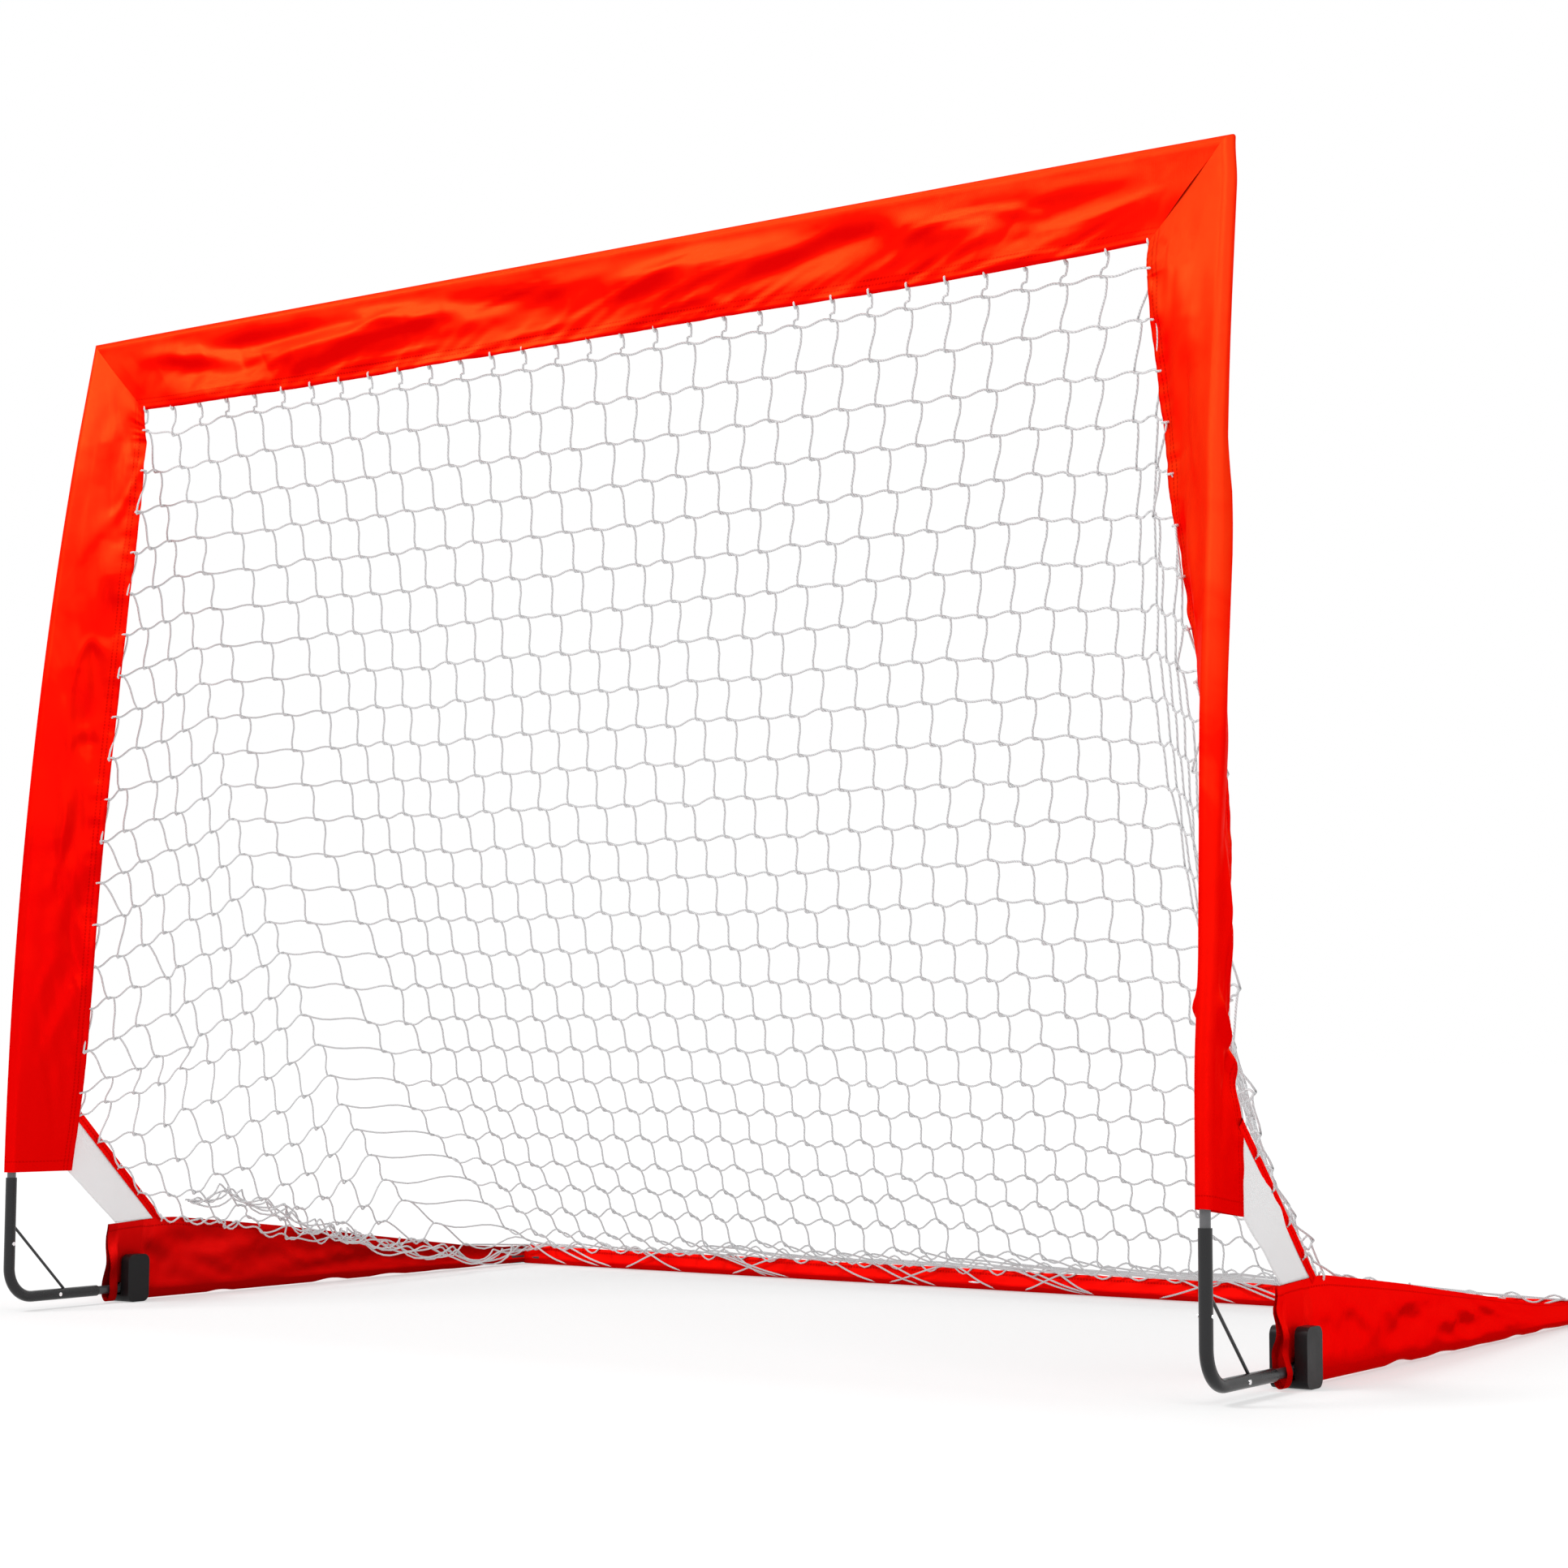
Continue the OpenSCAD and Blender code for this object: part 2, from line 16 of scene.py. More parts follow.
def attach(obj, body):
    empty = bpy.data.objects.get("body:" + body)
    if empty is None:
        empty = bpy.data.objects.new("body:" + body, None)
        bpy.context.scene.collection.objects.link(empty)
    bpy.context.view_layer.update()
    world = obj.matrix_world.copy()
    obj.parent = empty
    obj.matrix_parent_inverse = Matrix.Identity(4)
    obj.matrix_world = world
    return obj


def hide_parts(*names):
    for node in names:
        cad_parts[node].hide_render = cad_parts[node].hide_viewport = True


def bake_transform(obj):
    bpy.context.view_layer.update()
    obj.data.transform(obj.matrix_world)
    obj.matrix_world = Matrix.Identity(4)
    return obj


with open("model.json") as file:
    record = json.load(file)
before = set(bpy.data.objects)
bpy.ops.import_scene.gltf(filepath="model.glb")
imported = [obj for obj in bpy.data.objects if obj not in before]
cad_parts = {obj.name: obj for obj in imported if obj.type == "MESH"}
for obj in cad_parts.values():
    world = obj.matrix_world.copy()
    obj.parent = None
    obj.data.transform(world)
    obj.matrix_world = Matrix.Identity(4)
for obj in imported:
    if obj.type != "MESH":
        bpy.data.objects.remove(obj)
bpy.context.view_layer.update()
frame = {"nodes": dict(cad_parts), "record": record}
BOTH = (("left", -1), ("right", 1))
link = bpy.context.scene.collection.objects.link

# %% [markdown]
# ## The camera
# The camera stands low, in front of the goal and to its right, so that the left side net is seen from inside
# and the right base sleeve from outside. Its place and aim are set as numbers: a look-at target would also
# work, but then the roll is lost.

# %% Place the camera
EYE = Vector((1.5301, -2.2456, 0.252))
YAW, PITCH, ROLL = (math.radians(a) for a in (34.2668, 4.966, 0.1787))
LENS, SENSOR, NEAR, FAR = 67.7, 36, 0.05, 60
ahead = Vector((-math.sin(YAW) * math.cos(PITCH), math.cos(YAW) * math.cos(PITCH), math.sin(PITCH)))
side = Vector((math.cos(YAW), math.sin(YAW), 0))
above = side.cross(ahead)
right = math.cos(ROLL) * side + math.sin(ROLL) * above
up = -math.sin(ROLL) * side + math.cos(ROLL) * above
camera = bpy.data.objects.new("camera", bpy.data.cameras.new("camera"))
link(camera)
camera.matrix_world = Matrix((right, up, -ahead)).transposed().to_4x4()
camera.location = EYE
camera.data.lens, camera.data.sensor_width = LENS, SENSOR
camera.data.clip_start, camera.data.clip_end = NEAR, FAR
bpy.context.scene.camera = camera
print("camera at", tuple(EYE), "lens", LENS)

# %% [markdown]
# ## The goal's lines
# Every cloth piece follows the poles, so their lines come first. The upright is a straight tube at its
# foot and a bow above it, that leans back and a little inwards. The sleeve's flap turns as it goes up: at the
# foot it points back, at the top it points to the other upright. The poles' numbers are the CAD model's own,
# in metres; how far the flaps turn is set here.

# %% Numbers of the poles' lines
HALF_W, FRONT_Y = 0.6095, -0.373594
HINGE_Y, HINGE_Z = -0.230594, 0.0125
REAR_Y, REAR_Z = 0.374406, 0.0058
BOW_START, BOW_R = 0.103, 4.31263
BOW_ANGLE, BOW_TURN = math.radians(10.8391), math.radians(8.97263)
FOOT_U, LAST_U = 0.0306, 0.887
TURN_TOP = math.radians(8)
FLAP_W, POCKET_R = 0.065, 0.0068
HEM = (FLAP_W, 0.0)
TOP_CORNER = np.array((0.5975, -0.297594, 0.914))
# how far the flap is turned back, in degrees, up the right (1) and the left (-1) sleeve
TURNS = {1: ((0.03, 88), (0.1, 87), (0.13, 83), (0.19, 80), (0.3, 78), (0.38, 76.5), (0.43, 73), (0.47, 67),
             (0.5, 58), (0.53, 53), (0.584, 47.5), (0.643, 41), (0.7, 36), (0.762, 29), (0.825, 20),
             (0.887, 10)),
         -1: ((0.03, 84), (0.08, 74), (0.154, 62), (0.25, 55), (0.4, 50), (0.55, 45), (0.66, 39),
              (0.762, 30), (0.842, 23.5), (0.887, 18.5))}


def smooth(t):
    t = np.clip(t, 0, 1)
    return t * t * (3 - 2 * t)


def bow_point(u):
    run = BOW_R * (1 - math.cos(BOW_ANGLE * u))
    return np.array((HALF_W - run * math.sin(BOW_TURN), FRONT_Y + run * math.cos(BOW_TURN),
                     BOW_START + BOW_R * math.sin(BOW_ANGLE * u)))


def bow_up(u):
    a = BOW_ANGLE * u
    return np.array((-math.sin(a) * math.sin(BOW_TURN), math.sin(a) * math.cos(BOW_TURN), math.cos(a)))


def bow_back(u):
    across = np.cross((-1, 0, 0), bow_up(u))
    return across / np.linalg.norm(across)


def turned(p, angle):
    c, s = math.cos(angle), math.sin(angle)
    return p[0] * c - p[1] * s, p[0] * s + p[1] * c


def flap_turn(u, sign):
    at, angle = np.array(TURNS[sign], float).T
    return math.radians(float(np.interp(u + np.linspace(-0.03, 0.03, 5), at, angle).mean()))


def on_bow(p, u, sign):
    q = turned(p, flap_turn(u, sign))
    return bow_point(u) + q[0] * np.array((-1, 0, 0)) + q[1] * bow_back(u)


def on_mitre(p):
    q = turned(p, TURN_TOP)
    return TOP_CORNER + q[0] * (np.array((-1, 0, 0)) - bow_up(1)) + q[1] * bow_back(1)


def on_upright(p, t, sign):
    """A point of an upright's sleeve, on the right side: t is 0 at the foot and 1 at the mitre."""
    u = FOOT_U + t * (1 - FOOT_U)
    if u <= LAST_U:
        return on_bow(p, u, sign)
    k = (u - LAST_U) / (1 - LAST_U)
    return on_bow(p, LAST_U, sign) * (1 - k) + on_mitre(p) * k


def on_crossbar(p, t):
    """A point of the crossbar's sleeve: t is 0 at the left mitre and 1 at the right one."""
    end = on_mitre(p)
    return np.array((end[0] * (2 * t - 1), end[1], end[2]))


print("top hem corner", np.round(on_mitre(HEM), 4), "foot hem", np.round(on_upright(HEM, 0, 1), 4))

# %% [markdown]
# ## Helpers for cloth
# Cloth is made as a grid: rows run along the pole and columns run round the section. A grid keeps its UVs in
# metres, so that a weave or a stitch line in the material has its real size. Folds are moves of the grid's
# points by smooth noise, which is the same on each run.

# %% Grid meshes with UVs in metres
def new_object(name, points, faces, look):
    """Make a smooth mesh with its finish and put it into the scene."""
    mesh = bpy.data.meshes.new(name)
    mesh.from_pydata(points.reshape(-1, 3).tolist(), [], faces)
    mesh.materials.append(look)
    mesh.polygons.foreach_set("use_smooth", [True] * len(faces))
    mesh.update()
    obj = bpy.data.objects.new(name, mesh)
    link(obj)
    return obj


def cloth_grid(name, points, size_u, size_v, look, flip=False):
    """points[i][j]: i runs along the cloth, j round its section."""
    points = np.asarray(points, float)
    rows, cols = points.shape[:2]
    corner = np.arange((rows - 1) * cols).reshape(-1, cols)[:, :-1].reshape(-1, 1)
    quads = corner + (0, 1, cols + 1, cols)
    if flip:
        quads = quads[:, ::-1]
    uvs = np.stack(np.divmod(quads.ravel(), cols), 1) * (size_u, size_v) / (rows - 1, cols - 1)
    obj = new_object(name, points, quads.tolist(), look)
    obj.data.uv_layers.new(name="cloth").data.foreach_set("uv", uvs.ravel())
    return obj


def shares(n):
    """The numbers from 0 to 1 in n equal steps."""
    return [i / n for i in range(n + 1)]


def ripple(x, y, z=0.0):
    return noise.noise(Vector((x, y, z)))


print("noise check", round(ripple(0.3, 0.7, 0.1), 4))

# %% [markdown]
# ## Tubes along a path
# Twine and its loops are thin round tubes along a path. A curve object with a bevel would do, but here the
# rings of a mesh tube are laid one by one.

# %% Tube builder
HINT = np.array((0.31, 0.47, 0.83))  # a fixed direction, so that rings turn alike
TINY = 1e-12


def unit(v):
    return v / (np.linalg.norm(v) + TINY)


def tube_rings(path, radius, sides):
    path = np.asarray(path, float)
    step = np.gradient(path, axis=0)
    step /= np.linalg.norm(step, axis=1)[:, None] + TINY
    a = np.cross(step, HINT)
    a /= np.linalg.norm(a, axis=1)[:, None] + TINY
    b = np.cross(step, a)
    angle = (np.arange(sides) * 2 * math.pi / sides)[None, :, None]
    return path[:, None] + radius * (a[:, None] * np.cos(angle) + b[:, None] * np.sin(angle))


def tubes(name, paths, radius, sides, look):
    verts, faces, count = [], [], 0
    turn = [(j, (j + 1) % sides) for j in range(sides)]
    for path in paths:
        rings = tube_rings(path, radius, sides)
        verts.append(rings.reshape(-1, 3))
        for ring in range(count, count + (len(rings) - 1) * sides, sides):
            faces += [(ring + j, ring + k, ring + sides + k, ring + sides + j) for j, k in turn]
        faces.append(tuple(range(count, count + sides))[::-1])
        count += len(rings) * sides
        faces.append(tuple(range(count - sides, count)))
    return new_object(name, np.concatenate(verts), faces, look)


print("tube builder ready")

# %% [markdown]
# ## Finishes
# Each finish is a small node tree. Cloth gets its weave and stitch lines from the UVs, which are in metres,
# and its slow colour changes from the object's own coordinates: painted light and shade by height and facing,
# and random patches. Hard parts get a fine grain that breaks up the highlights.

# %% Node helpers
def new_finish(name, color, roughness, **sockets):
    mat = bpy.data.materials.new(name)
    mat.use_nodes = True
    shader = mat.node_tree.nodes["Principled BSDF"]
    shader.inputs["Base Color"].default_value = (*color, 1)
    shader.inputs["Roughness"].default_value = roughness
    for key, value in sockets.items():
        shader.inputs[key.replace("_", " ")].default_value = value
    return mat, mat.node_tree, shader


def feed(tree, socket, value):
    """Link the socket to another one, or set it to a plain value."""
    if isinstance(value, bpy.types.NodeSocket):
        tree.links.new(value, socket)
    else:
        socket.default_value = value


def node(tree, kind, inputs=(), **settings):
    made = tree.nodes.new("ShaderNode" + kind)
    for key, value in settings.items():
        setattr(made, key, value)
    for key, value in dict(inputs).items():
        feed(tree, made.inputs[key], value)
    return made


def maths(tree, operation, *values):
    return node(tree, "Math", enumerate(values), operation=operation).outputs[0]


def mixed(tree, factor, a, b):
    """Mix two colours; each is a socket or three numbers."""
    a, b = (c if isinstance(c, bpy.types.NodeSocket) else (*c, 1) for c in (a, b))
    made = node(tree, "Mix", data_type="RGBA")
    for key, value in ((0, factor), (6, a), (7, b)):
        feed(tree, made.inputs[key], value)
    return made.outputs[2]


def bumped(tree, shader, height, distance, strength, below=None):
    made = node(tree, "Bump", {"Height": height, "Distance": distance, "Strength": strength})
    if below is not None:
        feed(tree, made.inputs["Normal"], below)
    feed(tree, shader.inputs["Normal"], made.outputs["Normal"])
    return made.outputs["Normal"]


def split_up(tree, vector):
    return node(tree, "SeparateXYZ", {"Vector": vector}).outputs


def coords(tree):
    return node(tree, "TexCoord").outputs


def grain_of(tree, place, scale, detail, **more):
    inputs = {"Vector": place, "Scale": scale, "Detail": detail, **more}
    return node(tree, "TexNoise", inputs).outputs["Fac"]


def woven(tree, uv, pace):
    """The ups and downs of a plain weave."""
    warp, weft = (maths(tree, "SINE", maths(tree, "MULTIPLY", uv[axis], pace)) for axis in ("X", "Y"))
    return maths(tree, "MULTIPLY", warp, weft)


print("node helpers ready")

# %% [markdown]
# ### Satin polyester
# The sleeves are satin woven polyester: a fine plain weave and a soft broad sheen. Their colour is painted
# light
# and shade: orange-red higher up and where the cloth faces up, a deeper red lower down and where it faces down.
# The stitches along the hems could be modelled, but thread is too fine to show as form, so they are dashes with
# a little bump.

# %% Sleeve cloth
SATIN_PACE = 900 * 2 * math.pi
STITCH_HALF, STITCH_STEP, STITCH_SHARE, STITCH_DARK = 0.0006, 0.0034, 0.68, 0.55
# how far the cloth's tilt moves its painted shade and painted highlight
LEVEL_TILT, TILT_SHADE_WEIGHT = 0.14, 1.6


def stitch_mask(tree, uv, axis, at):
    """1 on the dashes of a stitch line across the UVs' X or Y axis, and 0 beside them."""
    off = maths(tree, "ABSOLUTE", maths(tree, "SUBTRACT", uv[axis], at))
    beat = maths(tree, "FRACT", maths(tree, "DIVIDE", uv["X" if axis == "Y" else "Y"], STITCH_STEP))
    return maths(tree, "MULTIPLY", maths(tree, "LESS_THAN", off, STITCH_HALF),
                 maths(tree, "LESS_THAN", beat, STITCH_SHARE))


def sleeve_cloth(name, lit_and_shaded_reds, stitches, low_z, high_z, cross_stitches=(), uneven=0.35):
    """lit_and_shaded_reds: the painted shade, the body red and the painted highlight. The red is painted
    lighter higher up and where the cloth faces up, and deeper where it faces down."""
    mat, tree, shader = new_finish(name, lit_and_shaded_reds[2], 0.31, Specular_IOR_Level=0.0, Metallic=0.55,
                                   Specular_Tint=(1.0, 0.12, 0.05, 1))
    place = coords(tree)
    uv = split_up(tree, place["UV"])
    height = split_up(tree, place["Object"])["Z"]
    # painted light: the red gets lighter from low_z up to high_z
    light_from_height = node(tree, "MapRange", {"Value": height, "From Min": low_z, "From Max": high_z})
    # random patches of deeper and lighter red, whatever the light
    folds = grain_of(tree, place["Object"], 16.0, 3.0, Roughness=0.55, Distortion=0.6)
    change = maths(tree, "MULTIPLY", maths(tree, "SUBTRACT", folds, 0.5), uneven * 2)
    shade = maths(tree, "ADD", light_from_height.outputs[0], change)
    # painted light and shade: cloth that faces up is lighter, cloth that faces down a deeper red
    tilt = split_up(tree, place["Normal"])["Z"]
    change = maths(tree, "MULTIPLY", maths(tree, "SUBTRACT", tilt, LEVEL_TILT), TILT_SHADE_WEIGHT)
    shade = maths(tree, "ADD", shade, change)
    ramp = node(tree, "ValToRGB")
    ramp.color_ramp.elements.new(0.5)
    for element, at, colour in zip(ramp.color_ramp.elements, (0.0, 0.5, 1.0), lit_and_shaded_reds):
        element.position, element.color = at, (*colour, 1)
    feed(tree, ramp.inputs["Fac"], shade)
    mask = 0
    for axis, lines in (("Y", stitches), ("X", cross_stitches)):
        for at in lines:
            mask = maths(tree, "MAXIMUM", mask, stitch_mask(tree, uv, axis, at))
    thread = tuple(STITCH_DARK * c for c in lit_and_shaded_reds[0])
    colour = mixed(tree, maths(tree, "MULTIPLY", mask, 0.45), ramp.outputs["Color"], thread)
    feed(tree, shader.inputs["Base Color"], colour)
    fine = bumped(tree, shader, woven(tree, uv, SATIN_PACE), 0.00012, 0.5)
    fine = bumped(tree, shader, grain_of(tree, place["Object"], 60.0, 2.0), 0.0012, 0.35, fine)
    bumped(tree, shader, mask, -0.0006, 0.8, fine)
    return mat


# each set is a painted shade, a body red and a painted highlight; the left base sleeve is seen from its shaded
# inner side, so its whole set is darker, as painted shade
FRONT_LIT_AND_SHADED_REDS = ((0.8, 0.0012, 0.001), (1.0, 0.0055, 0.001), (1.0, 0.042, 0.006))
BASE_LIT_AND_SHADED_REDS = {"left": ((0.36, 0.0022, 0.0022), (0.6, 0.0032, 0.003), (0.86, 0.006, 0.005)),
             "right": ((0.62, 0.0018, 0.0018), (0.97, 0.003, 0.002), (1.0, 0.006, 0.003))}
print("sleeve cloth ready")

# %% [markdown]
# ### Hard parts
# The tubes and braces are steel with a satin black powder coat, the brackets are moulded black nylon, the
# poles are grey glass-fibre rod and the rivets bright zinc. All get a fine grain and a roughness that varies
# slowly, because handled parts are never evenly smooth.

# %% Black steel, plastic and bright rivets
def painted(name, color, roughness, grain, depth, **sockets):
    mat, tree, shader = new_finish(name, color, roughness, **sockets)
    place = coords(tree)["Object"]
    bumped(tree, shader, grain_of(tree, place, grain, 2.0), depth, 0.4)
    wear = grain_of(tree, place, 45.0, 4.0)
    spread = node(tree, "MapRange", {"Value": wear, "From Min": 0.3, "From Max": 0.7,
                                     "To Min": roughness * 0.85, "To Max": roughness * 1.2})
    feed(tree, shader.inputs["Roughness"], spread.outputs[0])
    tint = mixed(tree, wear, color, tuple(min(1, c * 1.35 + 0.004) for c in color))
    feed(tree, shader.inputs["Base Color"], tint)
    return mat


finish = {
    "steel_tube": painted("satin_black_steel", (0.008, 0.008, 0.009), 0.27, 900, 0.0002,
                          Specular_IOR_Level=0.36),
    "brace_wire": painted("black_wire", (0.012, 0.012, 0.013), 0.4, 900, 0.0001),
    "rivet_steel": painted("bright_rivet", (0.78, 0.78, 0.8), 0.22, 500, 0.0001, Metallic=1.0),
    "stub_rod": painted("black_rod", (0.03, 0.03, 0.032), 0.36, 900, 0.0001),
    "pole_fibre": painted("grey_fibre_pole", (0.09, 0.09, 0.095), 0.3, 700, 0.0001, Specular_IOR_Level=0.6),
    "elbow_plastic": painted("black_elbow", (0.03, 0.03, 0.032), 0.5, 600, 0.0002),
    "ferrule_steel": painted("plain_ferrule", (0.6, 0.6, 0.63), 0.3, 500, 0.0001, Metallic=1.0),
    "bracket_plastic": painted("moulded_black_plastic", (0.004, 0.004, 0.0045), 0.38, 1400, 0.0002,
                               Specular_IOR_Level=0.17),
    "pin_steel": painted("plain_pin", (0.7, 0.7, 0.72), 0.3, 500, 0.0001, Metallic=1.0),
}
slots = {s["node"]: s["material_slot"] for s in frame["record"]["subparts"]}
for name, obj in frame["nodes"].items():
    if slots[name] in finish:
        obj.data.materials.clear()
        obj.data.materials.append(finish[slots[name]])
print("finished CAD nodes", sum(slots[n] in finish for n in frame["nodes"]))

# %% [markdown]
# A moulded bracket has soft edges, because a sharp one would chip and is hard to cut in the mould. A bevel
# modifier rounds them by 1.6 mm without a change to the CAD part itself.

# %% Soft edges on the brackets
EDGE_R, EDGE_STEPS, SHARP = 0.0016, 3, math.radians(35)
for name, obj in frame["nodes"].items():
    if name.startswith("hinge_bracket"):
        bevel = obj.modifiers.new("soft edge", "BEVEL")
        bevel.width, bevel.segments, bevel.limit_method, bevel.angle_limit = EDGE_R, EDGE_STEPS, "ANGLE", SHARP
print("bevelled brackets")

# %% [markdown]
# ## The front sleeves
# Each sleeve is one strip of cloth folded round its pole, with both edges sewn together as the hem. The cloth
# leaves the pole in two layers that come together at the hem, so its section is a long drop. Three sleeves
# meet at two mitred corners.

# %% The section of a sleeve
def sleeve_section(flap, pocket, gap=0.0011, across=26, round_it=18):
    """Points round the doubled cloth: down one face from the hem, round the pole, back along the other face.
    The third number says which layer a point belongs to: 1 is the rear one, -1 the front one."""
    face = flap * (1 - np.arange(across + 1) / across)
    lift = gap + (pocket - gap) * (1 - face / flap) ** 1.25
    turn = math.pi * (0.5 + np.arange(1, round_it) / round_it)
    hem = np.array([(flap + 0.0006, 0.0, 0.0)])
    rear_face = np.stack([face, lift, np.ones(len(face))], 1)
    front_face = np.stack([face, -lift, -np.ones(len(face))], 1)[::-1]
    ring = np.stack([pocket * np.cos(turn), pocket * np.sin(turn), np.sin(turn)], 1)
    return np.concatenate([hem, rear_face, ring, front_face, hem])


section = sleeve_section(FLAP_W, POCKET_R)
cloth_round = float(np.linalg.norm(np.diff(section[:, :2], axis=0), axis=1).sum())
HEM_SEAMS = (0.007, 0.0105, cloth_round - 0.007, cloth_round - 0.0105)
print("cloth round a sleeve", round(cloth_round * 1000), "mm in", len(section), "points")

# %% [markdown]
# ### Slack and folds in the upright sleeves
# A sleeve is cut wider than its pole, so its two layers part and billow a little, most where the flap turns.
# How far each layer stands out is a short table up the sleeve, in millimetres. Noise alone would give folds,
# but neither the broad slack nor the single slanting folds, so those are written down.

# %% Build the upright sleeves
UP_ROWS, up_length = 300, 0.82
# the rear and the front layer's slack at heights from 0 to 1
SLACK = {1: (((0, 0.5), (0.2, 1), (0.35, 2), (0.43, 5), (0.5, 7), (0.6, 9.5), (0.66, 9),
              (0.71, 4.5), (0.78, 3), (0.9, 1), (1, 0)),
             ((0, 0.5), (0.3, 1), (0.45, 2.5), (0.55, 2), (0.7, 1.2), (1, 0))),
         -1: (((0, 0.5), (0.3, 2), (0.6, 3), (1, 0)),
              ((0, 0.5), (0.2, 2.5), (0.4, 1.5), (0.6, 3), (0.8, 1), (1, 0)))}
# each fold: where it starts and ends, as along and out, then its half width and its height
UP_FOLDS = ((0.07, 0.016, 0.17, 0.052, 0.008, -0.0034), (0.16, 0.05, 0.3, 0.018, 0.009, 0.0036),
            (0.27, 0.014, 0.4, 0.046, 0.009, -0.004), (0.36, 0.054, 0.47, 0.022, 0.008, 0.0034),
            (0.45, 0.016, 0.6, 0.048, 0.01, -0.0038), (0.57, 0.052, 0.7, 0.02, 0.009, 0.0036),
            (0.66, 0.018, 0.79, 0.05, 0.009, -0.0032))
# between which heights the satin goes from its painted shade to its painted highlight
SATIN_LIGHT_HEIGHTS = {1: (0.0, 0.62), -1: (0.2, 0.86)}


def crease(x, y, z, width):
    """1 along the winding lines where the noise is 0, and 0 away from them."""
    return smooth(1 - abs(ripple(x, y, z)) / width)


def fold_lines(lines, at, out):
    """Single folds: each runs from one point of the cloth to another and dies away at both ends."""
    total = 0.0
    for a0, out0, a1, out1, width, height in lines:
        da, db = a1 - a0, out1 - out0
        s = min(1.0, max(0.0, ((at - a0) * da + (out - out0) * db) / (da * da + db * db)))
        away = math.hypot(at - a0 - da * s, out - out0 - db * s)
        if away < 4 * width:
            total += height * math.exp(-(away / width) ** 2 / 1.7) * math.sin(math.pi * s) ** 0.6
    return total


def upright_folds(x, t, seed):
    """How far the cloth stands out of its plane: long folds, slanting folds and puckers at the hem."""
    free = smooth((x - 0.006) / 0.03)
    wave = 0.0056 * ripple(t * 7 + seed, x * 30, 0.2) + 0.002 * ripple(t * 17 + seed, x * 60, 3.1)
    wave += 0.0013 * ripple(t * 26 + x * 120, t * 8 - x * 50, seed)
    wave += 0.0009 * ripple(t * 80 + seed, x * 30, 7.0) * smooth((x - 0.045) / 0.012)
    wave -= 0.0016 * crease(t * 6.5 + seed, x * 26, 4.4, 0.14)
    wave += fold_lines(UP_FOLDS, t * up_length + 0.02 * math.copysign(1, seed), x)
    return wave * free * min(1, t * 12) * min(1, (1 - t) * 9)


def upright_point(x, y, layer, t, sign, slack):
    along = max(0.0, (x + POCKET_R) / (FLAP_W + POCKET_R))
    billow = math.sin(math.pi * along ** 0.6) ** 1.2 if along < 1 else 0.0
    y += layer * slack[0 if layer > 0 else 1] * billow
    y += upright_folds(x, t, 4.0 * sign)
    lift = 0.0
    if sign > 0:
        # the right flap stands off a little, has one crossing fold low down and is stretched higher up
        y += 0.0026 * smooth((t - 0.12) / 0.12) * smooth((0.72 - t) / 0.1)
        crossing = math.exp(-((t - 0.165 + (x - 0.03) * 0.9) / 0.01) ** 2)
        y += 0.0052 * crossing * layer * smooth((x + 0.004) / 0.01)
        # the foot edge slants up towards the pole
        lift = 0.0075 * (1 - smooth(t / 0.09))
        loose = smooth((t - 0.42) / 0.12) * smooth((1 - t) / 0.05)
        x += loose * (0.0055 * x / FLAP_W - 0.0026)
        lift *= 1 - x / FLAP_W
    v = on_upright((x, y), t, sign)
    return sign * v[0], v[1], v[2] + lift


for which, sign in BOTH:
    tables = [np.array(table).T for table in SLACK[sign]]
    grid = []
    for t in shares(UP_ROWS):
        slack = [0.001 * float(np.interp(t, *table)) for table in tables]
        grid.append([upright_point(x, y, layer, t, sign, slack) for x, y, layer in section])
    satin = sleeve_cloth("upright_satin_" + which, FRONT_LIT_AND_SHADED_REDS, HEM_SEAMS, *SATIN_LIGHT_HEIGHTS[sign], (0.01,))
    sleeve = cloth_grid("upright_sleeve_cloth_" + which, grid, up_length, cloth_round, satin, sign > 0)
    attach(sleeve, "front_frame")
    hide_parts("upright_sleeve_" + which)
    print("upright sleeve", which, len(sleeve.data.polygons), "faces")

# %% [markdown]
# ### The crossbar's sleeve
# It is the same strip, cut at both ends along the mitre. The cloth is drawn tight along the pole and gathers a
# little at the hem's stitches, so its puckers are short and slant up from the hem.

# %% Build the crossbar's sleeve
BAR_ROWS, bar_length, BAR_WIDER = 480, 1.13, 0.05
BAR_FOLDS = ((-0.56, 0.012, -0.43, 0.034, 0.009, -0.004), (-0.54, 0.03, -0.36, 0.05, 0.01, 0.0034),
             (-0.47, 0.022, -0.26, 0.012, 0.008, 0.004), (-0.4, 0.04, -0.21, 0.026, 0.009, -0.0042),
             (-0.27, 0.008, -0.17, 0.03, 0.008, -0.0034), (-0.16, 0.014, -0.02, 0.034, 0.01, 0.0034),
             (0.02, 0.034, 0.15, 0.014, 0.009, -0.0034), (0.18, 0.04, 0.33, 0.018, 0.01, 0.0036),
             (0.3, 0.014, 0.44, 0.038, 0.009, -0.0036), (0.42, 0.044, 0.57, 0.02, 0.009, 0.0032))


def bar_folds(out, x):
    free = smooth((out - 0.004) / 0.02)
    wave = 0.006 * ripple(x * 7, out * 26, 5.3) + 0.0016 * ripple(x * 19 + out * 60, out * 50, 1.1)
    wave -= 0.0012 * crease(x * 7.5 + out * 22, out * 30, 9.4, 0.16)
    wave += 1.15 * fold_lines(BAR_FOLDS, x, out)
    pucker = 0.0011 * ripple(x * 70 + out * 120, out * 22, 2.2)
    pucker *= 0.1 + 0.9 * smooth((out - 0.034) / 0.02)
    return (wave + pucker) * free * min(1, max(0.0, 0.58 - abs(x)) * 12)


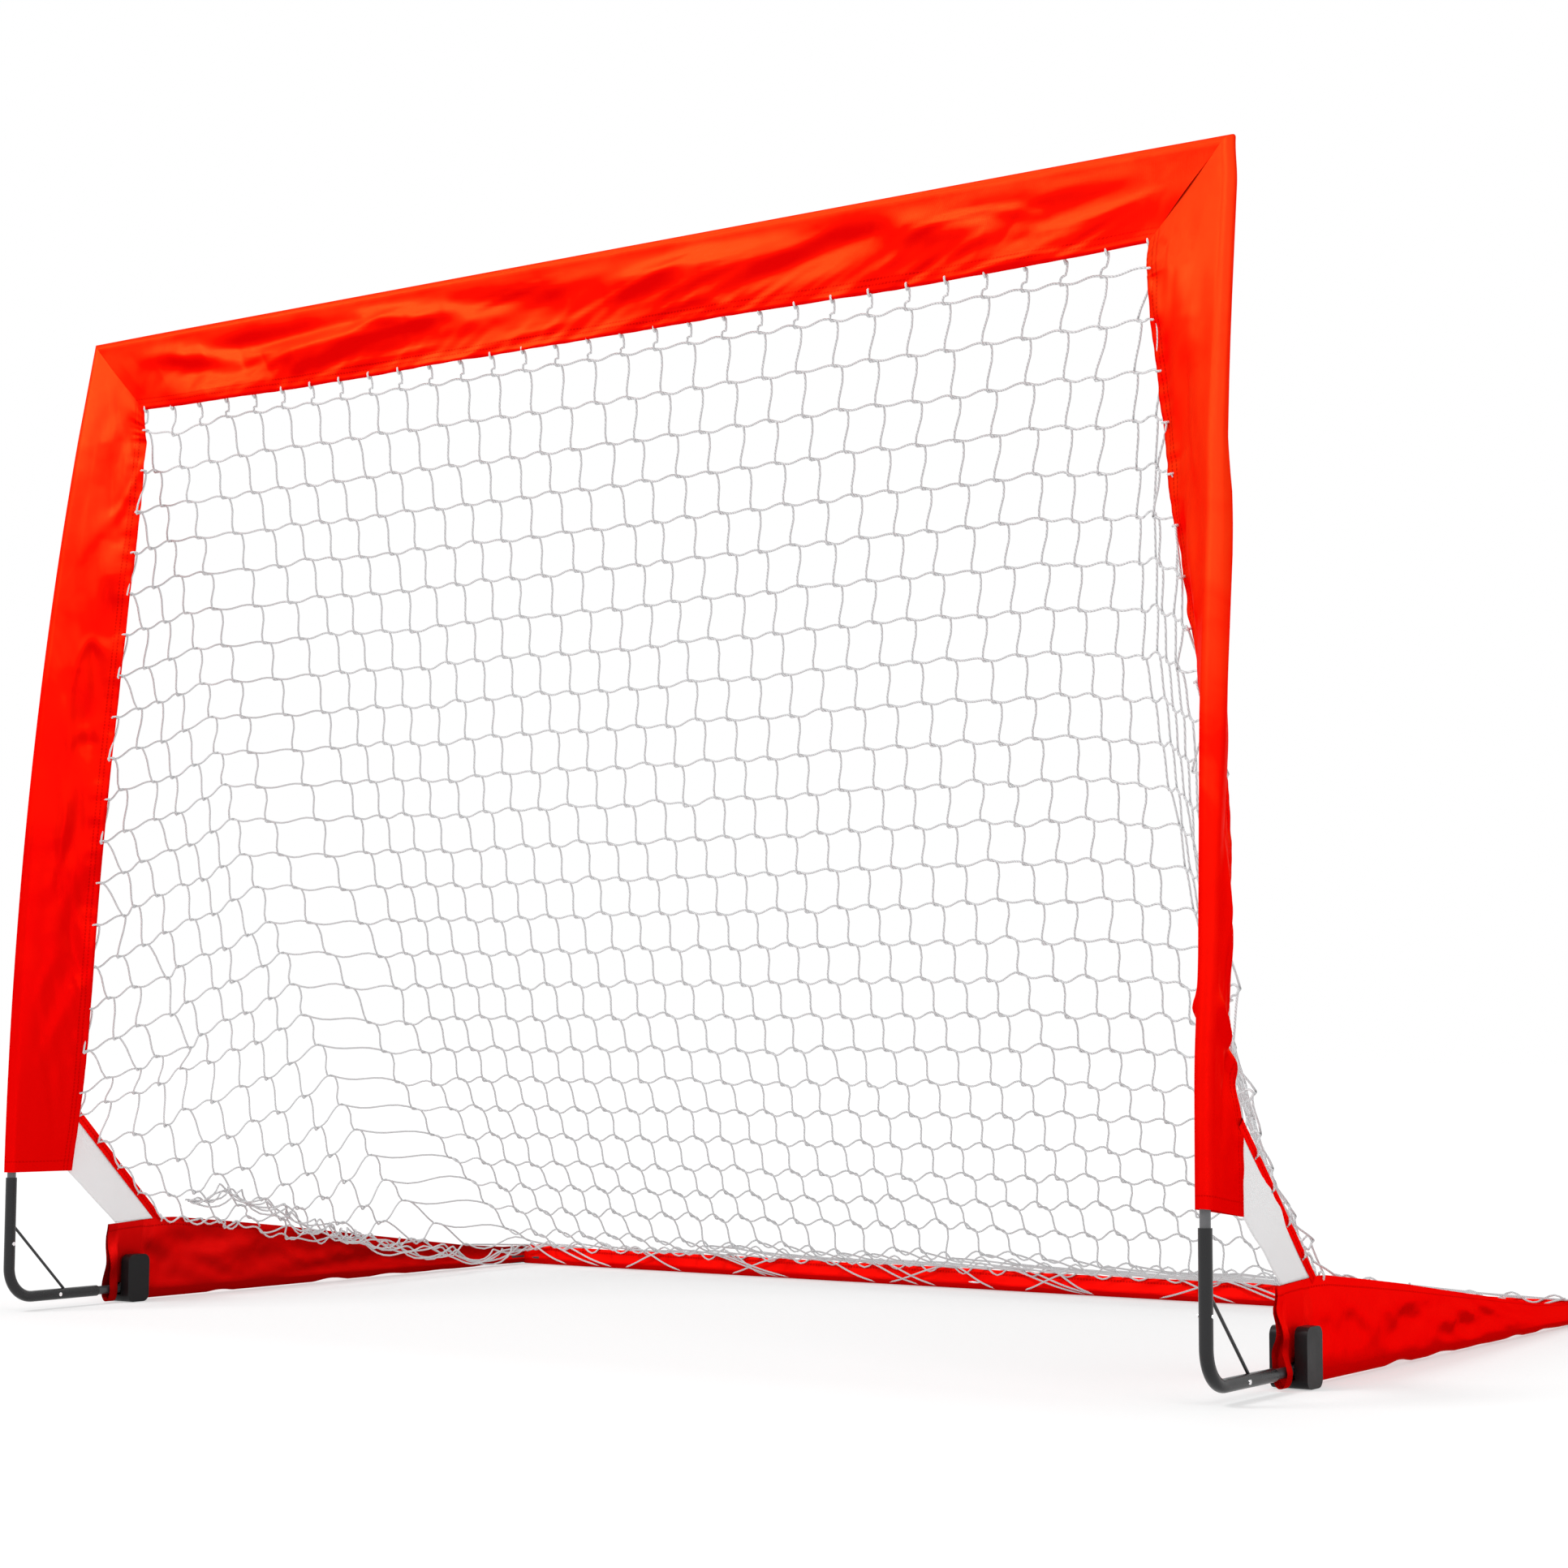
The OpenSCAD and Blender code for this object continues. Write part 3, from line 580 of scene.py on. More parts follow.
grid = []
for t in shares(BAR_ROWS):
    x = 2 * TOP_CORNER[0] * (t - 0.5)
    wider = 1 + BAR_WIDER * smooth(min(t, 1 - t) / 0.08)
    row = []
    for out, y, layer in section * (wider, 1, 1):
        y += layer * 0.0011 * (1 + ripple(x * 13, out * 20, 7)) * smooth(1 - abs(out - 0.03) / 0.03)
        row.append(on_crossbar((out, y + bar_folds(out, x)), t))
    grid.append(row)
satin = sleeve_cloth("crossbar_satin", FRONT_LIT_AND_SHADED_REDS, HEM_SEAMS, 0.5, 0.93)
bar_sleeve = cloth_grid("crossbar_sleeve_cloth", grid, bar_length, cloth_round, satin)
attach(bar_sleeve, "front_frame")
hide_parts("crossbar_sleeve")
print("crossbar sleeve", len(bar_sleeve.data.polygons), "faces")

# %% [markdown]
# ## The base sleeves
# A base sleeve is a wide strip folded over the base pole. Both of its layers go up to a stitched top edge,
# which is highest beside the bracket and runs down to the rear bar, so it works as a low side panel. Near the
# front it is cut open for the bracket. The cloth is a little too long, so it waves, and its fold hangs almost
# to the floor.

# %% Build the base sleeves
BASE_LINE_SLOPE = (REAR_Z - HINGE_Z) / (REAR_Y - HINGE_Y)
EDGE_Y = (-0.2546, -0.2456, -0.1886, -0.168, -0.09, -0.014, 0.065, 0.131, 0.196, 0.27, 0.337, 0.3744)
EDGE_Z = (0.0745, 0.075, 0.078, 0.0777, 0.0695, 0.061, 0.051, 0.043, 0.035, 0.026, 0.0205, 0.0198)
BASE_ROWS, FINE_ROWS, BASE_COLS, FINE_TO = 190, 50, 16, -0.20
SLOT_FROM, SLOT_TO, SLOT_Z = -0.2415, -0.2115, 0.0195
PANEL_IN, LAYER, FOLD_R, BASE_CLOTH = 0.00227, 0.0009, 0.006, 0.15


def edge_z(y):
    return float(np.interp(y, EDGE_Y, EDGE_Z))


def base_section(y, sign):
    """Points of the folded cloth at y: (out, up), out is away from the goal's middle."""
    centre, top = HINGE_Z + BASE_LINE_SLOPE * (y - HINGE_Y), edge_z(y)
    slotted = smooth(1 - max(0.0, (SLOT_FROM - y) / 0.003)) * smooth(1 - max(0.0, (y - SLOT_TO) / 0.004))
    r = FOLD_R * (1 - slotted) + 0.0011 * slotted
    hang = 0.0012 + 0.0045 * max(0.0, ripple(y * 21 + sign, 0.4, 3.0)) * smooth((0.36 - y) / 0.1)
    low = centre * (1 - slotted) + SLOT_Z * slotted
    bottom = min(low - 0.001, hang) * (1 - slotted) + (low - r) * slotted
    room = smooth((top - 0.02) / 0.03) * (1 - slotted)
    faces = {}
    for layer in (1, -1):
        faces[layer] = []
        for s in shares(BASE_COLS):
            thick = LAYER + (r - LAYER) * (smooth(s) if layer > 0 else s ** 3)
            wave = 0.004 * ripple(y * 13 + s * 1.3 + sign * 3, s * 1.9, 2.0)
            wave += 0.0026 * ripple(y * 31 - s * 2.2, s * 2.6 + sign, 5.0)
            wave += 0.001 * ripple(y * 85 + s * 3.0, s * 5.0, sign * 2.0)
            out = -PANEL_IN * (1 - s) + layer * thick + wave * room * math.sin(math.pi * s) ** 0.7
            faces[layer].append((out, top + (low - top) * s))
    ring = [(r * math.cos(a), low + (low - bottom) * math.sin(a)) for a in np.linspace(0, -math.pi, 12)[1:-1]]
    return faces[1] + ring + faces[-1][::-1]


base_ys = np.concatenate([np.linspace(EDGE_Y[0], FINE_TO, FINE_ROWS),
                          np.linspace(FINE_TO, REAR_Y, BASE_ROWS - FINE_ROWS + 1)[1:]])
for which, sign in BOTH:
    grid = [[(sign * (HALF_W + o), y, max(z, 0.0005)) for o, z in base_section(float(y), sign)]
            for y in base_ys]
    cloth = sleeve_cloth("base_polyester_" + which, BASE_LIT_AND_SHADED_REDS[which], (0.006, BASE_CLOTH - 0.006), -0.02,
                         0.075, (0.004,), uneven=0.3)
    base = cloth_grid("base_sleeve_cloth_" + which, grid, 0.63, BASE_CLOTH, cloth, sign < 0)
    # the cloth is a bending piece of the hinge, but all of it stays on the base
    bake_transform(base)
    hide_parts("base_sleeve_" + which)
    print("base sleeve", which, len(base.data.polygons), "faces")

# %% [markdown]
# ## The rear sleeve
# The rear bar lies on the floor in a narrow sleeve of the same cloth, with a short flap that stands up. It is
# the front sleeves' section made small, so that the whole goal has one way of sewing.

# %% Build the rear sleeve
REAR_ROWS, REAR_HALF, REAR_FLAP, REAR_POCKET = 200, 0.606, 0.0142, 0.0056
rear_section = sleeve_section(REAR_FLAP, REAR_POCKET, across=6)
grid = []
for x in ((t - 0.5) * 2 * REAR_HALF for t in shares(REAR_ROWS)):
    row = []
    for out, thick, _ in rear_section:
        lift = 0.0012 * ripple(x * 9, 0.3, 8.0) * smooth(out / 0.014)
        y = REAR_Y - thick + 0.0008 * ripple(x * 30, out * 50, 2)
        row.append((x, y, max(REAR_Z + out + lift, 0.0003)))
    grid.append(row)
cloth = sleeve_cloth("rear_polyester", BASE_LIT_AND_SHADED_REDS["right"], (0.004,), -0.01, 0.04)
rear = cloth_grid("rear_sleeve_cloth", grid, 1.212, 0.05, cloth)
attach(rear, "base")
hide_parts("rear_sleeve")
print("rear sleeve made")

# %% [markdown]
# ## Corner straps
# A flat white strap ties each upright's foot to the base sleeve and keeps the frame from opening too far. Its
# rear edge is bound with red tape, and the net is tied to that tape.

# %% Corner straps and their red binding
STRAP_ROWS, STRAP_COLS, TAPE_ROWS, WEB, WEB_PACE = 30, 16, 40, 0.0009, 5200
STRAP = {"top": np.array((FRONT_Y + 0.0668, 0.191)), "foot": np.array((FRONT_Y + 0.0655, 0.1276)),
         "front": np.array((FRONT_Y + 0.128, 0.0755)), "rear": np.array((FRONT_Y + 0.1835, 0.0778))}
# the folded tape's section: in from the strap's edge, and out of its plane
TAPE = ((-0.0055, 0.0009), (-0.002, 0.0013), (0.0015, 0.0013), (0.0032, 0.0009), (0.0038, 0),
        (0.0032, -0.0009), (0.0015, -0.0013), (-0.002, -0.0013), (-0.0055, -0.0009))


def side_point(back_y, z, sign, out=0.0):
    return np.array((sign * (HALF_W - PANEL_IN + out), back_y, z))


def bend_with_hinge(obj):
    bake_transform(obj)
    co = np.zeros(len(obj.data.vertices) * 3, np.float32)
    obj.data.vertices.foreach_get("co", co)


webbing, tree, shader = new_finish("white_webbing", (0.97, 0.972, 0.975), 0.6, Sheen_Weight=0.2)
uv = split_up(tree, coords(tree)["UV"])
bumped(tree, shader, woven(tree, uv, WEB_PACE), 0.00015, 0.5)

for which, sign in BOTH:
    grid = []
    for a in shares(STRAP_ROWS):
        one = STRAP["foot"] * (1 - a) + STRAP["front"] * a
        two = STRAP["top"] * (1 - a) + STRAP["rear"] * a
        row = []
        for b in shares(STRAP_COLS):
            y, z = one * (1 - b) + two * b
            curl = 0.0018 * ripple(a * 2.2 + sign, b * 1.5, 0.4) * math.sin(math.pi * a)
            row.append(side_point(y, z, sign, curl))
        grid.append(row)
    strap = cloth_grid("corner_strap_web_" + which, grid, 0.13, 0.047, webbing)
    thick = strap.modifiers.new("web", "SOLIDIFY")
    thick.thickness, thick.offset = WEB, 0
    bend_with_hinge(strap)
    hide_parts("corner_strap_" + which)
    top, low = STRAP["top"], STRAP["rear"]
    along = (low - top) / np.linalg.norm(low - top)
    outward = np.array((-along[1], along[0]))
    grid = []
    for i in range(TAPE_ROWS + 1):
        c = top - along * 0.006 + (low - top + along * 0.008) * i / TAPE_ROWS
        row = []
        for k, (out, flat) in enumerate(TAPE):
            flat += 0.0004 * ripple(i * 0.3, k * 0.2, sign)
            row.append(side_point(*(c + outward * out), sign, flat))
        grid.append(row)
    cloth = sleeve_cloth("binding_red_" + which, BASE_LIT_AND_SHADED_REDS["right"], (0.003, 0.017), -0.1, 0.2)
    binding = cloth_grid("strap_binding_tape_" + which, grid, 0.163, 0.02, cloth)
    bend_with_hinge(binding)
    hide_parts("strap_binding_" + which)
print("straps and bindings made")

# %% [markdown]
# ## The net
# The net is one bag of knotless twine, with squares of about 36 by 39 mm; its joints are called knots here. It
# is tied to the front sleeves' hems, the binding, the base sleeves' top edges and the rear sleeve. The bag is
# cut narrow at its sides, so the folds between back and sides hang forward. Knots and ties are laid out first,
# then the knots settle as threads would pull them, and the twine is laid on them last.

# %% Where the net is tied
MESH_H, SIDE_MESH, FIRST_ROW = 0.0393, 0.0362, 0.018
NET_ROWS, NET_COLS = 28, 30
TOP_HEM = on_mitre(HEM)
HEM_HALF, REAR_TIE_HALF = 0.5335, 0.600


def length_along(points):
    return np.concatenate([[0], np.cumsum(np.linalg.norm(np.diff(points, axis=0), axis=1))])


def edge_line(sign):
    """Down the hem, along the binding and back along the base sleeve's top edge, for the right side."""
    hem = np.array([on_upright(HEM, t, sign) for t in np.linspace(1, 0, 240)])
    heights = np.linspace(TOP_HEM[2] - 0.002, STRAP["top"][1] + 0.003, 80)
    points = [np.array([np.interp(-z, -hem[:, 2], hem[:, k]) for k in range(3)]) for z in heights]
    top, low = STRAP["top"], STRAP["rear"]
    points += [side_point(*((1 - k) * top + k * low), 1) for k in np.linspace(0, 1, 20)[1:]]
    points += [side_point(y, edge_z(y), 1) for y in np.linspace(low[0], REAR_Y, 60)[1:]]
    points = np.array(points)
    return points, length_along(points)


EDGES = {sign: edge_line(sign) for _, sign in BOTH}
print("side edges of the net", [round(float(at[-1]), 3) for _, at in EDGES.values()], "m")


def edge_point(s, sign):
    points, at = EDGES[sign]
    x, y, z = (np.interp(s, at, points[:, k]) for k in range(3))
    return np.array((sign * x, y, z))


# %% [markdown]
# ### Where the knots start
# The knots are laid out in rows, from the crossbar down to the rear bar. The back surface, the two folds
# beside it and the ties along the side edges are short tables, and each side net fills the room between a
# fold and its ties with as many meshes as fit there. The twine's rest lengths come from this layout.

# %% The knots before they settle
SIDE_COLS = 13
COLS = NET_COLS + 1 + 2 * SIDE_COLS
LEFT_COL, RIGHT_COL = SIDE_COLS, SIDE_COLS + NET_COLS
# the back's course from the crossbar to the rear bar, as y and z
BACK = np.array(((-0.3008, 0.8472), (-0.163, 0.683), (-0.065, 0.515), (0.04, 0.347), (0.13, 0.222),
                 (0.21, 0.13), (0.296, 0.05), (0.3725, 0.0217)))
# from here on each table starts with the row: the folds' places, how far in the back bends towards the left
# fold, how far down the side edge a row is tied, and how far the side nets sag
LEFT_FOLD = ((0, -0.5335, -0.3008, 0.8472), (2.5, -0.547, -0.268, 0.781), (4.8, -0.56, -0.233, 0.708),
             (7.1, -0.572, -0.191, 0.634), (9.4, -0.584, -0.155, 0.557), (12, -0.595, -0.113, 0.474),
             (15.3, -0.598, -0.045, 0.366), (17.5, -0.598, -0.008, 0.297), (19.6, -0.598, 0.031, 0.231),
             (21.5, -0.598, 0.072, 0.177), (23.6, -0.598, 0.12, 0.117), (25.5, -0.598, 0.175, 0.071),
             (27, -0.598, 0.27, 0.03), (28, -0.6, 0.3725, 0.0217))
RIGHT_FOLD_X = ((0, 0.5335), (4, 0.492), (8, 0.456), (12, 0.438), (16, 0.424), (20, 0.42), (22, 0.412),
                (24, 0.408), (26, 0.412), (27, 0.44), (28, 0.6))
TURN_IN = ((0, 0.1), (8, 0.12), (14, 0.1), (18, 0.05), (28, 0.04))
TIE_AT = ((0, 0), (1, 0.018), (17.3, 0.662), (18, 0.69), (21, 0.8), (22, 0.84), (24, 0.94), (26, 1.1),
          (27, 1.23), (28, 1.385))
SIDE_SAG = {-1: ((18, 0), (21, 0.016), (24, 0.03), (26, 0.016), (28, 0)),
            1: ((22, 0), (23, 0.035), (24, 0.055), (26, 0.03), (27, 0.012), (28, 0))}
row_at = np.array([0.0] + [FIRST_ROW + MESH_H * (j - 1) for j in range(1, NET_ROWS + 1)])
back_at = length_along(BACK)
back_at *= row_at[-1] / back_at[-1]


def table_value(table, j, column=1):
    table = np.asarray(table, float)
    return float(np.interp(j, table[:, 0], table[:, column]))


knots = np.full((NET_ROWS + 1, COLS, 3), np.nan)
pinned = np.zeros((NET_ROWS + 1, COLS), bool)
for j in range(NET_ROWS + 1):
    back = [np.interp(row_at[j], back_at, BACK[:, k]) for k in range(2)]
    fold = [table_value(LEFT_FOLD, j, k) for k in (1, 2, 3)]
    right_x = table_value(RIGHT_FOLD_X, j)
    for c in range(NET_COLS + 1):
        x = fold[0] + (right_x - fold[0]) * c / NET_COLS
        g = 1 - smooth((x - fold[0]) / table_value(TURN_IN, j))
        g2 = 0.1 * (1 - smooth((right_x - x) / 0.1)) if 1 < j < 27 else 0.0
        y, z = (back[k] * (1 - g) + fold[k + 1] * g for k in range(2))
        knots[j, LEFT_COL + c] = (x, y - 0.35 * g2, z - 0.1 * g2)
    for sign, first in ((-1, LEFT_COL), (1, RIGHT_COL)):
        tie = edge_point(table_value(TIE_AT, j), sign)
        start, sag = knots[j, first].copy(), table_value(SIDE_SAG[sign], j)
        fit = round(float(np.linalg.norm(tie - start)) / SIDE_MESH)
        n = min(SIDE_COLS, fit) if 0 < j < NET_ROWS else 0
        for c in range(1, n + 1):
            spot = start + (tie - start) * c / n
            if sign > 0:
                spot[0] += 0.001 * math.sin(math.pi * c / n)
            if c < n:
                spot[2] = max(spot[2] - sag * math.sin(math.pi * c / n) ** 0.5, 0.004)
            else:
                spot[2] = tie[2]
            knots[j, first + sign * c] = spot
        if n:
            pinned[j, first + sign * n] = True
        else:
            knots[j, first] = tie if 0 < j < 4 else start
            pinned[j, first] = j < 4
for c in range(NET_COLS + 1):
    x = 2 * c / NET_COLS - 1
    drop = BAR_WIDER * FLAP_W * min(1.0, (1 - abs(x)) * 8)
    knots[0, LEFT_COL + c] = (x * HEM_HALF, TOP_HEM[1] + 0.0012, TOP_HEM[2] - drop)
    knots[NET_ROWS, LEFT_COL + c] = (x * REAR_TIE_HALF, REAR_Y - 0.002, 0.021)
pinned[[0, NET_ROWS], LEFT_COL:RIGHT_COL + 1] = True
there = ~np.isnan(knots[:, :, 0])
print("knots", int(there.sum()), "tied", int((pinned & there).sum()))

# %% [markdown]
# ### Settling
# Each free knot falls a little and is pulled back by its four threads, until the net hangs as threads would.
# The threads hardly stretch and are a little uneven, as real twine is. Blender's cloth could settle them too; a
# short loop is enough here, and its fixed seed makes each run the same.

# %% Let the knots settle
STEPS, PASSES, KEPT_SPEED, FALL = 40, 10, 0.6, 0.0001
PULL, PUSH = 0.8, 0.25  # how much of an error is mended in a long and in a short thread
FLOOR_GAP, SIDE_LIMIT = 0.0016, 0.6025
P = np.nan_to_num(knots)
x_ok, y_ok = there[:, :-1] & there[:, 1:], there[:-1] & there[1:]
rng = np.random.default_rng(7)
across_rest = np.linalg.norm(P[:, 1:] - P[:, :-1], axis=-1)
down_rest = np.linalg.norm(P[1:] - P[:-1], axis=-1)
across_rest *= 1 + 0.02 * rng.standard_normal(across_rest.shape)
down_rest *= 1 + 0.015 * rng.standard_normal(down_rest.shape)
weight = np.where(pinned, 0.0, 1.0)
column = np.arange(COLS)
slack = 0.0014 + 0.0026 * np.exp(-((column - LEFT_COL + 1) / 3.0) ** 2) + 0.0014 * (column > RIGHT_COL)
P += rng.normal(0, 1, P.shape) * weight[..., None] * slack[None, :, None]
last = P.copy()


def mend(points, free, rest, ok):
    """Mend the threads along the first axis, every other one first."""
    for o in (0, 1):
        a, b = slice(o, len(points) - 1, 2), slice(o + 1, len(points), 2)
        d = points[b] - points[a]
        length = np.linalg.norm(d, axis=-1) + 1e-9
        total = free[a] + free[b] + 1e-9
        gap = (length - rest[a]) * np.where(length > rest[a], PULL, PUSH) * ok[a] / total / length
        points[a] += d * (gap * free[a])[..., None]
        points[b] -= d * (gap * free[b])[..., None]


for step in range(STEPS):
    speed = (P - last) * KEPT_SPEED
    last = P.copy()
    P = P + speed * weight[..., None]
    P[..., 2] -= FALL * weight
    for _ in range(PASSES):
        mend(P.swapaxes(0, 1), weight.T, across_rest.T, x_ok.T)
        mend(P, weight, down_rest, y_ok)
        P[..., 2] = np.maximum(P[..., 2], FLOOR_GAP)
        P[..., 0] = np.clip(P[..., 0], -SIDE_LIMIT, SIDE_LIMIT)
print("middle of the net", np.round(P[14, COLS // 2], 3), "left fold", np.round(P[11, LEFT_COL], 3),
      "right fold", np.round(P[16, RIGHT_COL], 3))

# %% [markdown]
# ### Twine between the knots
# A row's twine runs on through its joints in a shallow wave. A down-going twine leaves its joint sideways,
# turns down in a round corner and meets the next row a little to the left, which gives this kind of net its
# soft brick-like cells. Straight lines between the knots would look like wire.

# %% Lay the twine on the knots
TWINE_R, TWINE_SIDES = 0.00095, 5
EAST = np.array((1.0, 0.0, 0.0))
paths = {"back": [], "left": [], "right": []}


def bezier(a, b, c, d, n):
    t = np.linspace(0, 1, n)[:, None]
    return a * (1 - t) ** 3 + 3 * b * t * (1 - t) ** 2 + 3 * c * t * t * (1 - t) + d * t ** 3


def zone(c):
    return "left" if c < SIDE_COLS else "right" if c >= SIDE_COLS + NET_COLS else "back"


def along_row(j, c, other):
    """The direction of row j at column c, from left to right."""
    if c + 1 < COLS and x_ok[j, c]:
        return unit(P[j, c + 1] - P[j, c])
    return unit(P[j, c] - P[j, c - 1]) if c and x_ok[j, c - 1] else other


for j in range(1, NET_ROWS + 1):
    depth = j / NET_ROWS
    for c in np.flatnonzero(x_ok[j]):
        a, b = P[j, c], P[j, c + 1]
        t = np.linspace(0, 1, 9)
        line = a + (b - a) * t[:, None]
        amp = (0.0015 + 0.0032 * depth ** 3) * (0.7 + 0.6 * rng.random())
        line[:, 2] -= amp * np.sin(2 * math.pi * t)
        paths[zone(c)].append(line)

for j in range(NET_ROWS):
    for c in np.flatnonzero(y_ok[j]):
        a, b = P[j, c], P[j + 1, c]
        right_a = along_row(j, c, EAST)
        right_b = along_row(j + 1, c, right_a)
        down, half = unit(b - a), 0.0042 * min(1.0, float(np.linalg.norm(b - a)) / 0.03)
        below = 0.0009 * down
        leave, meet = a + right_a * half, b - right_b * half
        bend = leave + down * 0.0085
        line = np.concatenate([
            bezier(a + right_a * 0.0012 + below, a + right_a * (half - 0.0006) + below,
                   leave + right_a * 0.0004 + below, bend, 6),
            bezier(bend, leave + down * 0.018, meet - down * 0.012, meet, 5)[1:],
            [meet + right_b * 0.0008 + below, b + right_b * 0.0014 + below]])
        paths[zone(c)].append(line)
print("lengths of twine", {part: len(lines) for part, lines in paths.items()})

# %% [markdown]
# ### Ties, lacing and the gathered corner
# At every edge the net is held by loops of the same twine, sewn through the cloth. A helix of lacing goes
# round the rear bar. At the front corners the spare net is gathered into a loose rope that runs back along
# the base. Strands that wind loosely round one line show that well enough.

# %% Lay the loops, the lacing and the gathers
HEM_END, STRAP_END, LAST_LOOP = 0.66, 0.82, 0.86  # metres along the side edge
# the lacing's strands: where each starts round the bar, and its number of turns
LACING = ((0.0, 6), (0.5, 6), (2.6, -7), (1.2, 9))
LACE_HALF, LACE_Z = 0.598, 0.0122
GATHER = np.array(((-0.598, -0.165, 0.092), (-0.585, -0.112, 0.1), (-0.575, -0.054, 0.079),
                   (-0.57, 0.005, 0.06), (-0.57, 0.054, 0.047), (-0.571, 0.156, 0.025),
                   (-0.576, 0.263, 0.013), (-0.59, 0.366, 0.02)))
# the left rope is used as it is, the right one mirrored and flatter
ROPES = {"left": ((1, 1, 1), (0, 0, 0)), "right": ((-1, 1, 0.45), (0, 0, 0.002))}
STRANDS, ROPE_POINTS, ROPE_SOFTEN = 5, 90, 9


def tie_loop(centre, out, over, size=0.0031):
    """A small oval round the cloth's edge; out points from the net into the cloth, over through the cloth."""
    a = np.linspace(0, 2 * math.pi, 9)[:, None]
    skew = np.cross(out, over) * 0.0009
    return centre + out * (0.0004 + size * np.cos(a)) + over * (0.0025 * np.sin(a)) + skew * np.sin(a + 0.7)


hem_out = unit((TOP_CORNER - TOP_HEM) * (0, 1, 1))
for c in range(LEFT_COL, RIGHT_COL + 1):
    paths["back"].append(tie_loop(P[0, c], hem_out, unit(np.cross(hem_out, EAST))))
loops = 0
for s in (table_value(TIE_AT, j) for j in range(1, NET_ROWS)):
    if s > LAST_LOOP:
        continue
    for name, sign in BOTH:
        here, on = edge_point(s, sign), unit(edge_point(s + 0.004, sign) - edge_point(s - 0.004, sign))
        if s < HEM_END:
            t = float(np.interp(here[2], (0.13, TOP_HEM[2]), (0, 1)))
            into = on_upright((0.0, 0.0), t, sign) * (sign, 1, 1) - here
        else:
            into = np.array((sign * 0.25, -1.0, 0.0)) if s < STRAP_END else np.array((0.0, 0.0, -1.0))
        into = unit(into - on * np.dot(into, on))
        paths[name].append(tie_loop(here, into, unit(np.cross(on, into)), 0.0034))
        loops += 1
for phase, count in LACING:
    turns = np.linspace(0, 2 * math.pi * count, 200)
    turns = turns + 0.6 * np.sin(turns * 0.37 + phase)
    x = np.linspace(-LACE_HALF, LACE_HALF, len(turns))
    paths["back"].append(np.stack([x, REAR_Y + 0.0085 * np.cos(turns + phase),
                                   LACE_Z + 0.0106 * np.sin(turns + phase)], 1))
at = np.linspace(0, len(GATHER) - 1, ROPE_POINTS)
core = [np.pad(np.interp(at, range(len(GATHER)), line), ROPE_SOFTEN // 2, mode="edge") for line in GATHER.T]
core = np.stack([np.convolve(line, np.ones(ROPE_SOFTEN) / ROPE_SOFTEN, "valid") for line in core], 1)
k = np.linspace(0, 1, ROPE_POINTS)
ends = np.minimum(1, np.minimum(k, 1 - k) * 9 + 0.2)
for name, (scale, shift) in ROPES.items():
    for strand in range(STRANDS):
        spread = 0.005 + 0.0045 * rng.random()
        spin = 2 * math.pi * (5.5 + 2.5 * rng.random()) * k + strand * 0.9 + 2.0 * np.sin(9 * k + strand)
        loose = spread * (0.6 + 0.7 * np.sin(23 * k + 2 * strand) ** 2) * ends
        sway = 0.004 * np.sin(40 * k + strand)
        line = core + np.stack([loose * np.cos(spin), sway, loose * np.sin(spin)], 1)
        line[:, 2] = np.maximum(line[:, 2], FLOOR_GAP)
        paths[name].append(line * scale + shift)
print("tie loops", loops, "at the sides and", NET_COLS + 1, "on the crossbar")

# %% [markdown]
# ### The twine
# The twine is white polyester of three strands. Its lay is far too fine to model, so it is a slanting ripple
# in the finish: a bump, and a painted shade that makes the twine darker between the strands.

# %% Make the twine
twine, tree, shader = new_finish("white_twine", (0.8, 0.8, 0.81), 0.7, Sheen_Weight=0.15)
place = coords(tree)["Object"]
lay_and_groove_shade = node(tree, "TexWave", {"Vector": place, "Scale": 260.0, "Distortion": 3.0, "Detail": 1.0},
           bands_direction="DIAGONAL").outputs["Fac"]
bumped(tree, shader, lay_and_groove_shade, 0.0003, 0.6)
# painted shade: the twine is darker in the grooves between its strands
feed(tree, shader.inputs["Base Color"], mixed(tree, lay_and_groove_shade, (0.56, 0.565, 0.575), (0.86, 0.865, 0.875)))
for part, node_name in (("back", "back_net"), ("left", "side_net_left"), ("right", "side_net_right")):
    net = tubes("twine_" + node_name, paths[part], TWINE_R, TWINE_SIDES, twine)
    bend_with_hinge(net)
    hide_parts(node_name)
    print(node_name, len(paths[part]), "lengths of twine", len(net.data.vertices), "points")

# %% [markdown]
# ## Floor and light
# The floor is a plain white sheet, large enough that its edge doesn't show. Away from the goal it glows a
# little for the eye, so that it fades into the white behind it, and under the goal it keeps the shadows. The
# light is soft and comes from above and a little from the front left.

# %% Floor, world and lamps
FLOOR_HALF, FLOOR_Z, GLOW = 30, -0.0004, 1.07
CLEAR_X, CLEAR_Y, FADE_OVER, GLOW_UNDER = 0.62, 0.38, 0.25, 0.42
WORLD_LIGHT, WORLD_SEEN = 0.52, 0.48


